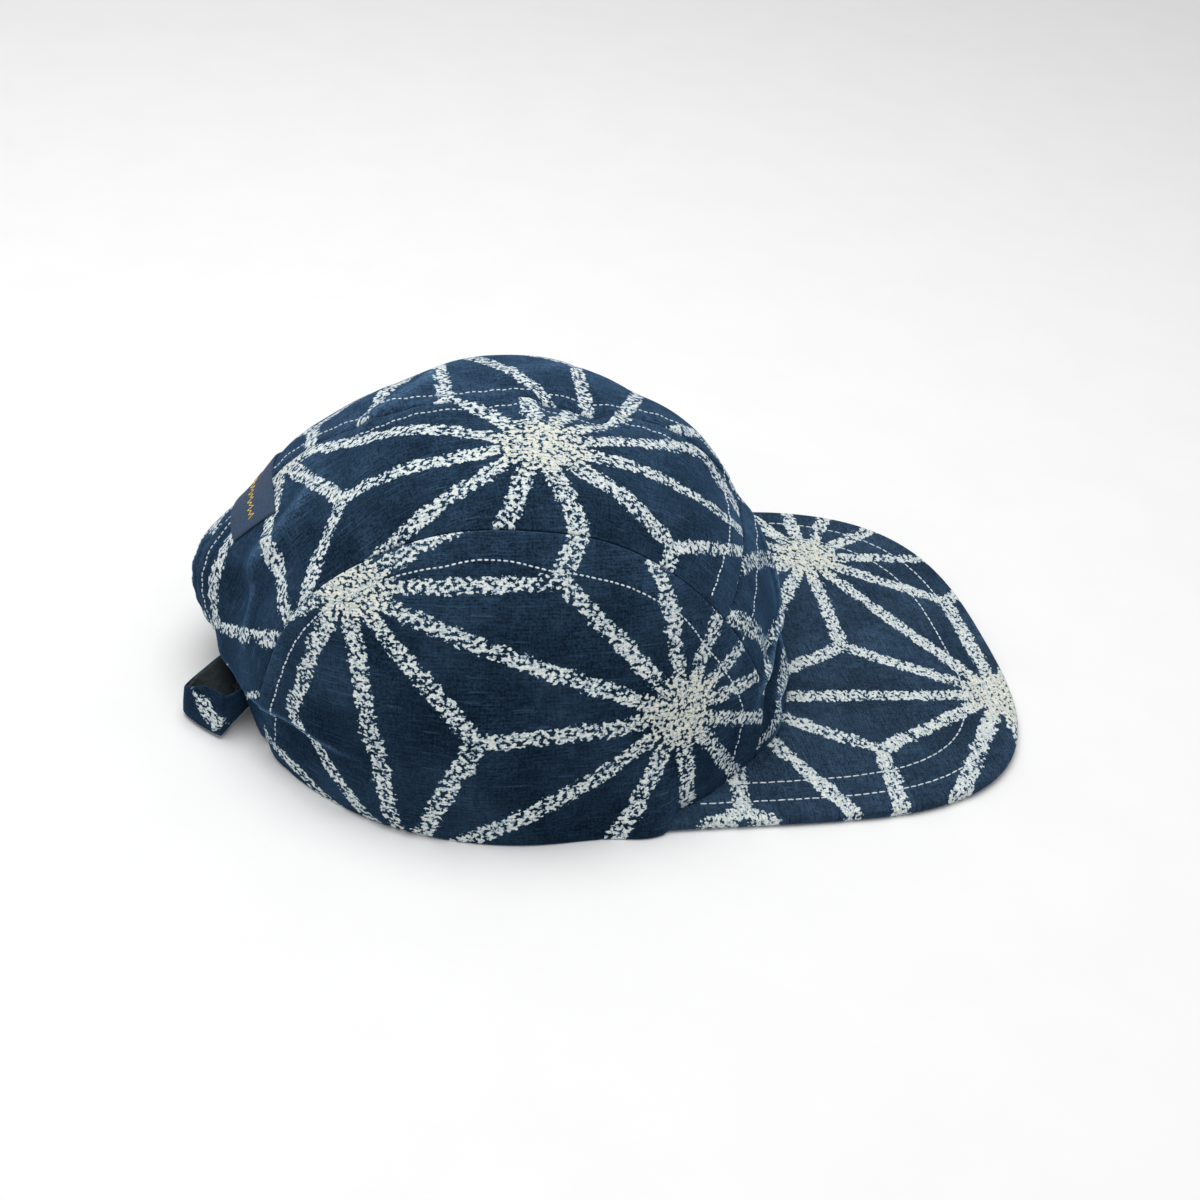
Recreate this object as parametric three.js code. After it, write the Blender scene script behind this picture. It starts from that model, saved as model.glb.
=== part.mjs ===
// A five-panel cap, as it rests by itself on a level surface.
// Two side panels in the shape of a D, two top panels that meet on a centre seam and one low front panel make the
// hollow crown. A flat brim, a rear strap and a sewn-on back label complete it.
// Millimetres and degrees: +X runs forward over the brim, +Y to the wearer's left, +Z up. The hem lies at Z = 0.

import * as THREE from "three";

// Cloth and clearances
const WALL = 1.6; // crown cloth with its turned-in allowances
const GAP = 0.8; // clear space between neighbouring crown panels
const HALF_WIDTH = 87.5; // crown, from the middle plane to the widest point of a side panel

// Ribs of the crown, from the front hem at 0 degrees over the top to the rear hem at 180 degrees.
// radius is the reach from the crown's centre in the middle plane; right, centre and left are the sideways places
// where the three long seams cross the rib. The soft back sags towards the wearer's left, so its centre seam wanders.
const RIBS = [
  { angle: 0, radius: 100.0, right: -60.0, centre: 0, left: 60.0 },
  { angle: 18, radius: 98.0, right: -51.0, centre: 0, left: 51.0 },
  { angle: 36, radius: 99.5, right: -51.6, centre: 0, left: 51.6 },
  { angle: 54, radius: 104.5, right: -53.0, centre: 0, left: 53.0 },
  { angle: 72, radius: 108.0, right: -50.8, centre: 0, left: 51.5 },
  { angle: 90, radius: 110.8, right: -49.6, centre: 0, left: 51.0 },
  { angle: 108, radius: 111.6, right: -46.2, centre: 2, left: 51.0 },
  { angle: 126, radius: 108.4, right: -41.6, centre: 11, left: 54.0 },
  { angle: 144, radius: 104.5, right: -38.8, centre: 17, left: 56.0 },
  { angle: 162, radius: 97.5, right: -37.0, centre: 9, left: 47.0 },
  { angle: 180, radius: 90.0, right: -36.0, centre: 0, left: 36.0 },
];

// Main swells and dents of the soft crown: height outwards, where it is centred, and how far it spreads each way.
const DENTS = [
  { name: "valley along the centre seam", height: -2.0, angle: 90, spread: 45, across: 0, reach: 13 },
  { name: "ridge of the left side seam", height: 3.0, angle: 75, spread: 38, across: 46, reach: 16 },
  { name: "ridge of the right side seam", height: 0.8, angle: 80, spread: 40, across: -46, reach: 16 },
  { name: "sagging back", height: 13.0, angle: 162, spread: 17, across: 24, reach: 26 },
  { name: "dent below the label", height: -3.0, angle: 152, spread: 7, across: -12, reach: 9 },
  { name: "hollow in the front panel", height: -2.4, angle: 23, spread: 13, across: -36, reach: 9 },
];

// The side panels flare where the brim's ends push them out.
const FLARE = { out: 8.5, x: 37, rear: 14, front: 4.5, height: 14 };

const FRONT_SEAM = { middle: 42.5, rise: 2.7, halfLength: 53 }; // angles on the crown, and the seam's half length
const ARCH = { angle: 14.5, halfWidth: 35, squareness: 4 }; // rear opening above the strap

const BRIM = { root: 44.5, length: 131.5, halfWidth: 86.75, corner: 4.1, thickness: 4.0, camber: 1.0, rootGap: 0.9 };

// Rear strap: the foot and the head of the band's outer face at each of its stations, from the right to the left.
const STRAP_THICKNESS = 1.8;
const STRAP = [
  { footX: -77.5, footY: -41.0, footZ: 8.0, headX: -76.5, headY: -39.5, headZ: 23.0 },
  { footX: -81.5, footY: -34.0, footZ: 5.5, headX: -80.0, headY: -32.0, headZ: 18.5 },
  { footX: -87.5, footY: -29.5, footZ: 3.0, headX: -84.0, headY: -26.0, headZ: 15.8 },
  { footX: -96.6, footY: -27.6, footZ: 1.6, headX: -90.5, headY: -21.5, headZ: 15.0 },
  { footX: -103.0, footY: -22.0, footZ: 1.6, headX: -94.0, headY: -15.5, headZ: 14.5 },
  { footX: -107.6, footY: -13.0, footZ: 1.6, headX: -96.5, headY: -9.0, headZ: 14.5 },
  { footX: -108.7, footY: -5.0, footZ: 1.6, headX: -97.0, headY: -2.0, headZ: 14.5 },
  { footX: -104.5, footY: 4.0, footZ: 1.6, headX: -95.5, headY: 5.5, headZ: 15.0 },
  { footX: -97.0, footY: 15.0, footZ: 2.4, headX: -91.0, headY: 14.5, headZ: 16.0 },
  { footX: -86.0, footY: 27.0, footZ: 5.0, headX: -83.0, headY: 25.5, headZ: 18.0 },
  { footX: -77.5, footY: 41.0, footZ: 8.0, headX: -76.5, headY: 39.5, headZ: 23.0 },
];

// Back label, laid over the centre seam and tilted with it.
const LABEL = { angle: 142.3, across: 20, length: 44, height: 21, tilt: 3.5, thickness: 0.9, lift: 0.3 };

// Facets along and across each sheet
const FACETS = {
  side: { along: 28, across: 14 },
  top: { along: 30, across: 7 },
  front: { along: 16, across: 6 },
  brim: { along: 60, across: 3 },
  strap: { along: 27, across: 2 },
  label: { along: 8, across: 3 },
};

// Smooth curve through one column of a table, with slopes taken from the neighbouring rows.
function curveThrough(rows, key, column, at) {
  const last = rows.length - 1;
  const slope = (i) => {
    const a = rows[Math.max(i - 1, 0)];
    const b = rows[Math.min(i + 1, last)];
    return (b[column] - a[column]) / (b[key] - a[key]);
  };
  const x = THREE.MathUtils.clamp(at, rows[0][key], rows[last][key]);
  let i = 0;
  while (i < last - 1 && x >= rows[i + 1][key]) i += 1;
  const h = rows[i + 1][key] - rows[i][key];
  const t = (x - rows[i][key]) / h;
  const start = rows[i][column] * (2 * t ** 3 - 3 * t ** 2 + 1) + h * slope(i) * (t ** 3 - 2 * t ** 2 + t);
  const end = rows[i + 1][column] * (3 * t ** 2 - 2 * t ** 3) + h * slope(i + 1) * (t ** 3 - t ** 2);
  return start + end;
}

const seamAt = (name, angle) => curveThrough(RIBS, "angle", name, angle);
const bell = (a, b) => Math.exp(-a * a - b * b);
const fullnessAt = (across) => Math.sqrt(Math.max(0, 1 - (across / HALF_WIDTH) ** 2));

// Outer face of the crown: an ellipse across each rib, raised by the swells and dents and flared at the brim's ends.
function crownPoint(angle, across) {
  const fullness = fullnessAt(across);
  let radius = seamAt("radius", angle) * fullness;
  for (const d of DENTS) {
    const share = bell((angle - d.angle) / d.spread, (across - d.across) / d.reach);
    radius += d.height * share * Math.min(1, 3 * fullness);
  }
  const turn = THREE.MathUtils.degToRad(angle);
  const x = radius * Math.cos(turn);
  const z = radius * Math.sin(turn);
  const spread = x < FLARE.x ? FLARE.rear : FLARE.front;
  const flare = FLARE.out * bell((x - FLARE.x) / spread, z / FLARE.height) * (across / HALF_WIDTH) ** 2;
  return new THREE.Vector3(x, across + Math.sign(across) * flare, Math.abs(z) < 1e-6 ? 0 : z);
}

// Outward normal of the crown, from two short steps on its face.
function crownNormal(angle, across) {
  if (fullnessAt(across) < 0.03) return new THREE.Vector3(0, Math.sign(across), 0);
  const [turnStep, sideStep] = [0.5, 0.2];
  const alongRib = crownPoint(Math.min(angle + turnStep, 180), across);
  alongRib.sub(crownPoint(Math.max(angle - turnStep, 0), across));
  const acrossRib = crownPoint(angle, Math.min(across + sideStep, HALF_WIDTH));
  acrossRib.sub(crownPoint(angle, Math.max(across - sideStep, -HALF_WIDTH)));
  return acrossRib.cross(alongRib).normalize();
}

// Closes a sheet of outer and inner points, (along + 1) x (across + 1) each, into one solid with its faces outwards.
function closedSheet({ along, across }, outerAt, innerAt) {
  const points = [];
  for (const at of [outerAt, innerAt])
    for (let i = 0; i <= along; i++) for (let j = 0; j <= across; j++) points.push(at(i / along, j / across));
  const row = across + 1;
  const inner = (along + 1) * row;
  const faces = [];
  const quad = (a, b, c, d) => faces.push(a, b, c, a, c, d);
  for (let i = 0; i < along; i++)
    for (let j = 0; j < across; j++) {
      const k = i * row + j;
      quad(k, k + row, k + row + 1, k + 1);
      quad(inner + k, inner + k + 1, inner + k + row + 1, inner + k + row);
    }
  for (let i = 0; i < along; i++) {
    const near = i * row;
    const far = near + across;
    quad(near, inner + near, inner + near + row, near + row);
    quad(far, far + row, inner + far + row, inner + far);
  }
  for (let j = 0; j < across; j++) {
    const end = along * row + j;
    quad(j, j + 1, inner + j + 1, inner + j);
    quad(end, inner + end, inner + end + 1, end + 1);
  }
  const geometry = new THREE.BufferGeometry();
  geometry.setAttribute("position", new THREE.Float32BufferAttribute(points.flatMap((p) => p.toArray()), 3));
  geometry.setIndex(volumeOf(points, faces) < 0 ? faces.reverse() : faces);
  return geometry;
}

function volumeOf(points, faces) {
  let six = 0;
  for (let i = 0; i < faces.length; i += 3) {
    const [a, b, c] = faces.slice(i, i + 3).map((k) => points[k]);
    six += a.dot(b.clone().cross(c));
  }
  return six / 6;
}

// A crown panel: placeAt gives the angle and the sideways place on the crown for each point of the sheet.
function panelGeometry(facets, placeAt) {
  const innerAt = (s, t) => {
    const [angle, across] = placeAt(s, t);
    const outer = crownPoint(angle, across);
    const point = outer.clone().addScaledVector(crownNormal(angle, across), -WALL);
    if (outer.z < 0.01) point.z = 0;
    return point;
  };
  return closedSheet(facets, (s, t) => crownPoint(...placeAt(s, t)), innerAt);
}

// A D-shaped side panel: a half square pressed into a half disc, whose round edge is the arc seam.
function sidePanel(seamName) {
  const placeAt = (s, t) => {
    const u = 2 * s - 1;
    const forward = u * Math.sqrt(1 - (t * t) / 2);
    const up = t * Math.sqrt(1 - (u * u) / 2);
    const angle = THREE.MathUtils.radToDeg(Math.atan2(up, forward));
    const seam = seamAt(seamName, angle);
    const share = Math.hypot(forward, up) * fullnessAt(Math.abs(seam) + GAP / 2);
    return [angle, Math.sign(seam) * HALF_WIDTH * Math.sqrt(1 - share * share)];
  };
  return panelGeometry(FACETS.side, placeAt);
}

const frontSeamAngle = (across) => FRONT_SEAM.middle + FRONT_SEAM.rise * (across / FRONT_SEAM.halfLength) ** 2;
const archShare = (across) => Math.max(0, 1 - Math.abs(across / ARCH.halfWidth) ** ARCH.squareness);
const archAngle = (across) => 180 - ARCH.angle * Math.sqrt(archShare(across));

// A top panel, from the front seam to the rear arch and from the centre seam to one side seam.
function topPanel(seamName) {
  const side = seamName === "left" ? 1 : -1;
  const seamGapTurn = THREE.MathUtils.radToDeg(GAP / 2 / 100);
  const placeAt = (s, t) => {
    let angle = FRONT_SEAM.middle + s * (180 - FRONT_SEAM.middle);
    let across = 0;
    for (let step = 0; step < 6; step++) {
      const inner = seamAt("centre", angle) + (side * GAP) / 2;
      const outer = seamAt(seamName, angle) - (side * GAP) / 2;
      across = inner + t * (outer - inner);
      const first = frontSeamAngle(across) + seamGapTurn;
      angle = first + s * (archAngle(across) - first);
    }
    return [angle, across];
  };
  return panelGeometry(FACETS.top, placeAt);
}

// The front panel, from the hem up to the front seam.
function frontPanel() {
  const seamGapTurn = THREE.MathUtils.radToDeg(GAP / 2 / 100);
  const placeAt = (s, t) => {
    let angle = t * FRONT_SEAM.middle;
    let across = 0;
    for (let step = 0; step < 6; step++) {
      const right = seamAt("right", angle) + GAP / 2;
      const left = seamAt("left", angle) - GAP / 2;
      across = right + s * (left - right);
      angle = t * (frontSeamAngle(across) - seamGapTurn);
    }
    return [angle, across];
  };
  return panelGeometry(FACETS.front, placeAt);
}

// The brim: from the crown's hem line out to a rounded rectangle, with a slight camber and one thickness.
function brim() {
  const rootTurn = Math.acos(BRIM.root / RIBS[0].radius);
  const pointAt = (s, t, height) => {
    const side = 2 * s - 1;
    const turn = side * rootTurn;
    const hem = crownPoint(0, HALF_WIDTH * Math.sin(turn));
    const inner = new THREE.Vector2(Math.cos(turn) / RIBS[0].radius, Math.sin(turn) / HALF_WIDTH);
    inner.setLength(BRIM.rootGap).add(new THREE.Vector2(hem.x, hem.y));
    const sweep = (side * Math.PI) / 2;
    const lengthShare = (Math.abs(Math.cos(sweep)) / BRIM.length) ** BRIM.corner;
    const widthShare = (Math.abs(Math.sin(sweep)) / BRIM.halfWidth) ** BRIM.corner;
    const ray = (lengthShare + widthShare) ** (-1 / BRIM.corner);
    const outer = new THREE.Vector2(BRIM.root + ray * Math.cos(sweep), ray * Math.sin(sweep));
    const plan = inner.lerp(outer, t);
    const rise = BRIM.camber * Math.max(0, 1 - (plan.y / BRIM.halfWidth) ** 2);
    return new THREE.Vector3(plan.x, plan.y, rise + height);
  };
  const upper = (s, t) => pointAt(s, t, BRIM.thickness);
  return closedSheet(FACETS.brim, upper, (s, t) => pointAt(s, t, 0));
}

// The rear strap: a band that leans out from inside one corner of the arch to the other, its foot on the surface.
function rearStrap() {
  const stations = STRAP.map((row, station) => ({ station, ...row }));
  const edge = (name, s) => {
    const at = s * (STRAP.length - 1);
    return new THREE.Vector3(...["X", "Y", "Z"].map((axis) => curveThrough(stations, "station", name + axis, at)));
  };
  const outerAt = (s, t) => edge("foot", s).lerp(edge("head", s), t);
  const innerAt = (s, t) => {
    const step = 0.01;
    const along = edge("foot", Math.min(s + step, 1)).sub(edge("foot", Math.max(s - step, 0)));
    const up = edge("head", s).sub(edge("foot", s));
    const inwards = along.cross(up).setLength(STRAP_THICKNESS);
    const point = outerAt(s, t).add(inwards);
    point.z = Math.max(point.z, 0);
    return point;
  };
  return closedSheet(FACETS.strap, outerAt, innerAt);
}

// The back label: a thin sheet that follows the crown a little above it.
function backLabel() {
  const degreesPerMm = THREE.MathUtils.radToDeg(1 / seamAt("radius", LABEL.angle));
  const placeAt = (s, t) => {
    const up = (0.5 - t) * LABEL.height;
    const across = LABEL.across + (s - 0.5) * LABEL.length - (up / LABEL.height) * LABEL.tilt * 2;
    return [LABEL.angle - up * degreesPerMm, across];
  };
  const faceAt = (height) => (s, t) => {
    const [angle, across] = placeAt(s, t);
    return crownPoint(angle, across).addScaledVector(crownNormal(angle, across), height);
  };
  return closedSheet(FACETS.label, faceAt(LABEL.lift + LABEL.thickness), faceAt(LABEL.lift));
}

const printedCloth = { color: 0x1d3048, roughness: 0.92, metalness: 0 };
const labelCloth = { color: 0x3c4254, roughness: 0.8, metalness: 0 };

function piece(name, geometry, finish) {
  const mesh = new THREE.Mesh(geometry, new THREE.MeshStandardMaterial(finish));
  mesh.name = name;
  return mesh;
}

const crown = new THREE.Group();
crown.add(
  piece("side_panel_right", sidePanel("right"), printedCloth),
  piece("side_panel_left", sidePanel("left"), printedCloth),
  piece("top_panel_right", topPanel("right"), printedCloth),
  piece("top_panel_left", topPanel("left"), printedCloth),
  piece("front_panel", frontPanel(), printedCloth),
  piece("back_label", backLabel(), labelCloth),
);

const cap = new THREE.Group();
cap.add(crown, piece("brim", brim(), printedCloth), piece("rear_strap", rearStrap(), printedCloth));

// The origin is under the middle of the whole cap, brim and strap included.
const extent = new THREE.Box3().setFromObject(cap);
cap.position.x = -(extent.min.x + extent.max.x) / 2;

export default cap;
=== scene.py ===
"""A five-panel cap of indigo cotton with a worn hemp-leaf print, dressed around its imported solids.

The crown's panels, the brim, the rear strap and the label are surfaces worked out with numpy, in millimetres,
with the crown's centre as their origin; to_frame turns them into the frame's metres. Every seam has its
rolled edges, its pressed allowances and its topstitching, and the soft cloth has the folds of the real cap.
"""

import bpy
import numpy as np
from mathutils import Matrix, Vector


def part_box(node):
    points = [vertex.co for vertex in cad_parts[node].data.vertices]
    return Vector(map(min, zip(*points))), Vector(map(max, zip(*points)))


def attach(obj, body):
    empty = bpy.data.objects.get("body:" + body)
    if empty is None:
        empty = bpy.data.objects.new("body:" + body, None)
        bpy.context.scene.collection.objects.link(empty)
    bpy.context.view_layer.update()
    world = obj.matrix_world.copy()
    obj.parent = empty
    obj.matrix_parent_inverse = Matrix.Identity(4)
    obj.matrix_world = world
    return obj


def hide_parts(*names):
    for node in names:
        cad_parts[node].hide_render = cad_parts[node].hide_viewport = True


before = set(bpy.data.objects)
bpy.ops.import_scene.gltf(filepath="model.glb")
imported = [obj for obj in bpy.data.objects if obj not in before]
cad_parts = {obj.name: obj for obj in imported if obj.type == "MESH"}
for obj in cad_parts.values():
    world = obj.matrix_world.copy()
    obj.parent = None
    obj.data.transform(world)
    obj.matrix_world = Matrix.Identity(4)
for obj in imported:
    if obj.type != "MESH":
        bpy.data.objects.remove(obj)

bl_info = {
    "name": "Five-panel cap",
    "version": (1, 0, 0),
    "blender": (4, 5, 0),
    "location": "View3D > Sidebar > Cap",
    "description": "Builds a printed cotton five-panel cap around its packed solids",
    "category": "Add Mesh",
}

MM = 0.001
PHOTO_SIZE = 1200

# The crown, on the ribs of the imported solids. Angles run from the front hem over the top to the rear one, and
# across runs from the middle plane, + to the wearer's left.
HALF_WIDTH = 87.5
RIB_COLUMNS = ("angle", "radius", "right", "centre", "left")
RIBS = np.array(
    [
        (0, 100.0, -60.0, 0.0, 60.0),
        (18, 98.0, -51.0, 0.0, 51.0),
        (36, 99.5, -51.6, 0.0, 51.6),
        (54, 104.5, -53.0, 0.0, 53.0),
        (72, 108.0, -50.8, 0.0, 51.5),
        (90, 110.8, -49.6, 0.0, 51.0),
        (108, 111.6, -46.2, 2.0, 51.0),
        (126, 108.4, -41.6, 11.0, 54.0),
        (144, 104.5, -38.8, 17.0, 56.0),
        (162, 97.5, -37.0, 9.0, 47.0),
        (180, 90.0, -36.0, 0.0, 36.0),
    ]
)
# Bells where the cloth stands full or hollow: height, angle and reach over it, across and reach over it.
DENTS = (
    (-2.0, 90, 45, 0, 13),
    (3.0, 75, 38, 46, 16),
    (0.8, 80, 40, -46, 16),
    (13.0, 162, 17, 24, 26),
    (-3.0, 152, 7, -12, 9),
    (-2.4, 23, 13, -36, 9),
    (3.4, 55, 13, 12, 16),
    (1.5, 84, 14, 38, 14),
    (-2.2, 107, 11, 40, 14),
    (2.0, 130, 9, 35, 13),
    (-1.0, 149, 7, 27, 12),
    (-1.8, 168, 5, 4, 8),
    (-2.0, 180, 9, -31, 9),
    (3.9, 36, 5.5, 2, 12),
    (-3.4, 14, 8, -14, 16),
    (-0.9, 142, 8, 28, 18),
    (1.0, 159, 6, 18, 12),
    (0.8, 68, 8, 28, 12),
)
DENT_GROWTH = 3  # how fast the bells grow from the crown's two poles
POLE_FULLNESS = 0.04  # below this share of its full reach the crown faces sideways
FLARE = {"out": 6.5, "x": 37, "rear": 14, "front": 4.5, "height": 14}
FRONT_SEAM = {"middle": 42.5, "rise": 2.7, "half_length": 53}
ARCH = {"angle": 12.0, "half_width": 27, "squareness": 2}

SOLID_FRONT = 176.0  # the brim solid's front edge, from the crown's centre
BRIM = {"root": 44.5, "length": 133.5, "half_width": 88.3, "thickness": 4.0, "camber": 1.0}
BRIM_POWERS = {"forward": 4.7, "sideways": 2.9}  # of its outline
BRIM_WAIST = {"share": 0.028, "length": 75.0}
BRIM_EDGE_ROUND = 1.7
BRIM_TAIL = {"share": 0.97, "length": 7.5}
BRIM_GRID = {"around": 300, "face": 76, "edge": 16}
BRIM_TUCK = 0.3  # from the hem's own line inwards to the root
# The brim's ground is paled evenly all over. A small share of the reverse side's finish greys it and makes its
# print a little fainter.
BRIM_FINISH = {"wear_and_sheen": 0.15, "reverse": 0.08}

STRAP_COLUMNS = ("foot_x", "foot_y", "foot_z", "head_x", "head_y", "head_z")
STRAP = np.array(
    [
        (-80.8, -33.0, 5.0, -83.6, -31.5, 17.0),
        (-79.5, -23.0, 3.0, -80.5, -22.0, 15.0),
        (-79.3, -14.0, 1.4, -79.8, -15.5, 11.8),
        (-81.8, -9.6, 1.2, -82.5, -13.2, 10.6),
        (-85.6, -12.2, 1.2, -86.5, -16.2, 11.4),
        (-92.0, -21.3, 1.2, -92.2, -23.8, 14.2),
        (-96.0, -27.4, 1.2, -95.0, -27.4, 16.8),
        (-97.7, -28.0, 1.2, -96.8, -27.2, 17.4),
        (-102.6, -23.4, 1.2, -101.2, -21.8, 16.6),
        (-106.9, -17.8, 1.2, -105.7, -18.5, 14.2),
        (-108.3, -14.2, 1.2, -107.7, -14.5, 11.8),
        (-106.6, -12.2, 1.2, -105.6, -10.8, 11.8),
        (-101.8, -12.0, 1.2, -101.4, -7.3, 13.2),
        (-97.0, -11.2, 1.2, -97.4, -3.4, 14.0),
        (-91.8, -7.2, 1.3, -93.0, 1.6, 14.2),
        (-86.6, 3.0, 1.7, -88.8, 8.5, 14.6),
        (-83.0, 17.0, 2.8, -85.4, 19.0, 15.4),
        (-80.8, 33.0, 5.0, -83.6, 31.5, 17.0),
    ]
)
STRAP_THICKNESS = 1.8
STRAP_GRID = {"along": 170, "face": 20, "edge": 9}
STRAP_EDGE = 0.055  # share of the width that a rounded long edge takes
STRAP_SWELL = {"height": 0.175, "uneven": 0.4, "waves": 9}
LABEL = {"angle": 142.3, "across": 20, "length": 44, "height": 19.4, "tilt": 3.5, "thickness": 0.6}
LABEL_LIFT = 0.35  # of the label's underside off the crown's cloth
LABEL_SINK = 0.2  # of its back into that gap
LABEL_ROLL = {"tightness": 1.6, "most": 0.6}  # of its edges: against a panel's, and as a share of its wall
ZIGZAG = {"legs": 24, "from": 0.1, "to": 0.8, "middle": 0.52, "height": 0.055}
ZIGZAG_UNEVENNESS = {"across": 0.006, "across_turn": 2.3, "height": 0.03, "height_turn": 1.7}
ZIGZAG_GAP = 0.001  # share of a leg before and after its stitch
ZIGZAG_THREAD = 0.36
ZIGZAG_STITCH = 0.98  # length of a stitch as a share of its leg

# Cloth
WALL = 1.6
SEAM_GAP = 0.03  # between neighbouring panels as they are sewn
GAP_TURN = np.degrees(SEAM_GAP / 2 / 100)  # half of that gap as an angle, at a seam's usual reach
EDGE_ROLL = 0.9  # radius of a panel's turned edge
EDGE_LINES = np.array([0.0, 0.2, 0.45, 0.75, 1.1, 1.6, 2.3])  # where grid lines lie beside a turned edge
EDGE_CLEAR = 3.2  # where the even grid lines begin
EDGE_WEAR = {"wear_and_sheen": 0.12, "from": 0.03, "to": 0.4}
SEAM_SAMPLES = {"arc": 420, "over": 320, "front": 160, "brim": 1600}
PANEL_GRIDS = {  # even lines and the span in millimetres, both ways
    "side": ((170, 170), (96, 100)),
    "top": ((230, 250), (56, 55)),
    "front": ((120, 110), (84, 74)),
    "label": ((70, LABEL["length"]), (36, LABEL["height"])),
}
ROUNDS = 8  # in which a panel's edges settle
ALLOWANCES = {"height": 0.55, "rise": 1.5, "fall": 2.6}  # the layers pressed to one side of a seam
STITCH_DIP = {"crown": 0.4, "brim": 0.35, "width": 0.8}
PUCKER = {"height": 0.2, "wave": 8.5, "reach": 5.0, "no_row": 0.6, "brim": 0.35}
PUCKER_DRIFTS = ((0.5, 19.0), (0.3, 7.3))
HEM_CALM = 6.0  # height over the hem where folds and unevenness are full
# Painted sheen: cloth that faces up is paled as if lit from above, more towards the wearer's left. The seams
# entry pales the cloth over raised seam allowances.
SHEEN_AND_SEAM_PALING = {"least": 0.1, "more": 0.14, "half_span": 30, "steepness": 1.5, "start": 0.3, "seams": 0.08}

# Topstitch rows: distances from the seam, for the arc seams at some angles. A seam without a row puckers too.
ARC_ROW = {
    "angles": (2, 16, 30, 38, 48, 57, 68, 80, 91, 98, 104, 111, 122, 137, 150, 162),
    "offsets": (14, 14, 11.7, 11.5, 11.2, 9.6, 11.0, 11.9, 11.5, 9.5, 9.0, 9.8, 8.2, 7.1, 7.0, 7.0),
}
ROWS = {"centre": 5.0, "above": 10.8, "below": 11.2, "none": 4.0}
# Where rows end: angles over the crown, angles from the centre seam's own ends, and places across.
ROW_ENDS = {"arc": (3, 176), "centre": (1, -0.5), "front": (-51.8, 51.8)}
ROW_STEPS = {"arc": 6.0, "centre": 5.0, "front": 6.0}  # the first guess of a row's place beside its seam
ROW_SAMPLES = {"arc": 700, "centre": 600, "front": 400, "brim": 1400, "brim_dip": 700}
ROW_ROUNDS = 6  # in which a row settles at its distance
ROW_LIMITS = (0.5, 2)  # within which a round changes its step
BRIM_ROWS = (8.6, 17.2)
BRIM_STITCH = 1.75  # length of a brim stitch, in crown stitches
STITCH_UNEVENNESS = {"share": 0.2, "turn": 2.3, "slow_turn": 0.9}
STITCH_WIDTH = 0.58
STITCH_FLATNESS = 0.85  # height as a share of the width
STITCH_LIFT = 0.08
STITCH_GRID = {"around": 8, "along": 6, "end": 0.35}
HEM_CLEAR = 0.6  # height over the hem where the crown's rows end
CROWN_CLEAR = 1.04  # share of the hem's ellipse, squared, outside which the brim's rows show

# Folds of the soft cloth: the ridge's height and half width, the step from one side of it to the other, how
# worn it is (partly a painted highlight along its crest), and its path over (angle, across).
FOLDS = (
    (1.0, 1.5, -2.6, 0.9, (
        (163, 3), (167, -4.5), (168.2, -10.7), (167.8, -19.5), (168.4, -26), (166.2, -37.5), (163.2, -48),
        (161.6, -55), (159.6, -62), (155, -74))),
    (1.7, 3.6, 0, 0.4, (
        (124, -6), (128, -7.8), (134.3, -12.3), (138.6, -14.2), (144.6, -12.7), (152.4, -10))),
    (1.2, 3.2, 0, 0.35, ((147, -16), (150.6, -18.7), (154.8, -22.2), (160, -27))),
    (-1.3, 5.5, 0, 0, ((152, -24), (143, -24), (134, -25), (126, -30))),
    (0.9, 7, 0, 0, ((134, -36), (118, -32), (102, -35))),
    (2.3, 2.2, 0, 1, (
        (34, 24), (33, -2.6), (27.5, -7), (22.8, -12), (21.6, -19), (22.4, -31.6), (20.6, -38), (22, -47.3),
        (22, -53.3), (17, -57))),
    (-3.4, 4.2, 0, 0, ((20, 20), (19, -2), (17, -17), (15.6, -30), (13, -38), (13.5, -48), (8.5, -54))),
    (1.4, 2.2, 0, 1, ((16, 8), (15.5, -8), (11, -17), (7, -23), (7.2, -29), (8.8, -40), (5, -46), (3, -53))),
    (1.7, 3.6, 0, 0.35, ((118, 4), (115.5, 6.9), (110.5, 10.4), (106.3, 14.4), (103.3, 25), (98, 38))),
    (-1.5, 4.5, 0, 0, ((122, 14), (114, 17), (109, 24), (106, 36))),
    (1.2, 5, 0, 0.2, ((96, 12), (88, 20), (76, 27), (64, 30))),
    (-3.0, 7, 0, 0, ((90, -1), (82, -3), (74, -1))),
)
FOLD_STEP_REACH = 12
FOLD_FADE = 0.22  # share of a fold's length over which each end fades out
FOLD_WEAR_AND_HIGHLIGHT = 1.4  # how much narrower the wear and the painted highlight are than the ridge
UNDULATION = {"waves": 14, "shortest": 28.0, "longest": 75.0, "height": 0.28, "seed": 11}

# Where the print lies on each piece: a star's place on the flattened cloth, the turn of the lattice, and how
# the cloth is stretched along it and leans, tapers, bows and sags when it is sewn into its curve. The last
# three are shares over BEND_LENGTH.
LATTICE = 91.5
BEND_LENGTH = 100
PRINT_COLUMNS = ("along", "up", "turn", "spacing", "stretch", "lean", "taper", "bow", "sag")
PRINTS = {
    "side_panel_right": (41.9, 37.9, -22.5, 90.6, 1.197, -0.118, -0.121, 0.012, 0.065),
    "side_panel_left": (-38.0, 42.0, 17.0, 91.5, 1.15, 0.05, -0.1, 0.0, 0.05),
    "top_panel_right": (3.9, -23.0, -10.9, 84.9, 1.262, -0.284, 0.515, -0.31, -0.109),
    "top_panel_left": (-22.8, 56.5, 2.3, 95.3, 0.971, -0.072, -0.086, -0.074, -0.031),
    "front_panel": (58.5, -65.0, 51.8, 101.1, 1.148, -0.062, -0.135, 0.082, -0.06),
    "brim": (125.4, 53.0, -64.7, 90.1, 1.064, 0.037, 0.116, 0.008, 0.003),
    "rear_strap": (13.0, -34.0, 45.0, 130.0, 1.0, 0.0, 0.0, 0.0, 0.0),
}

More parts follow.
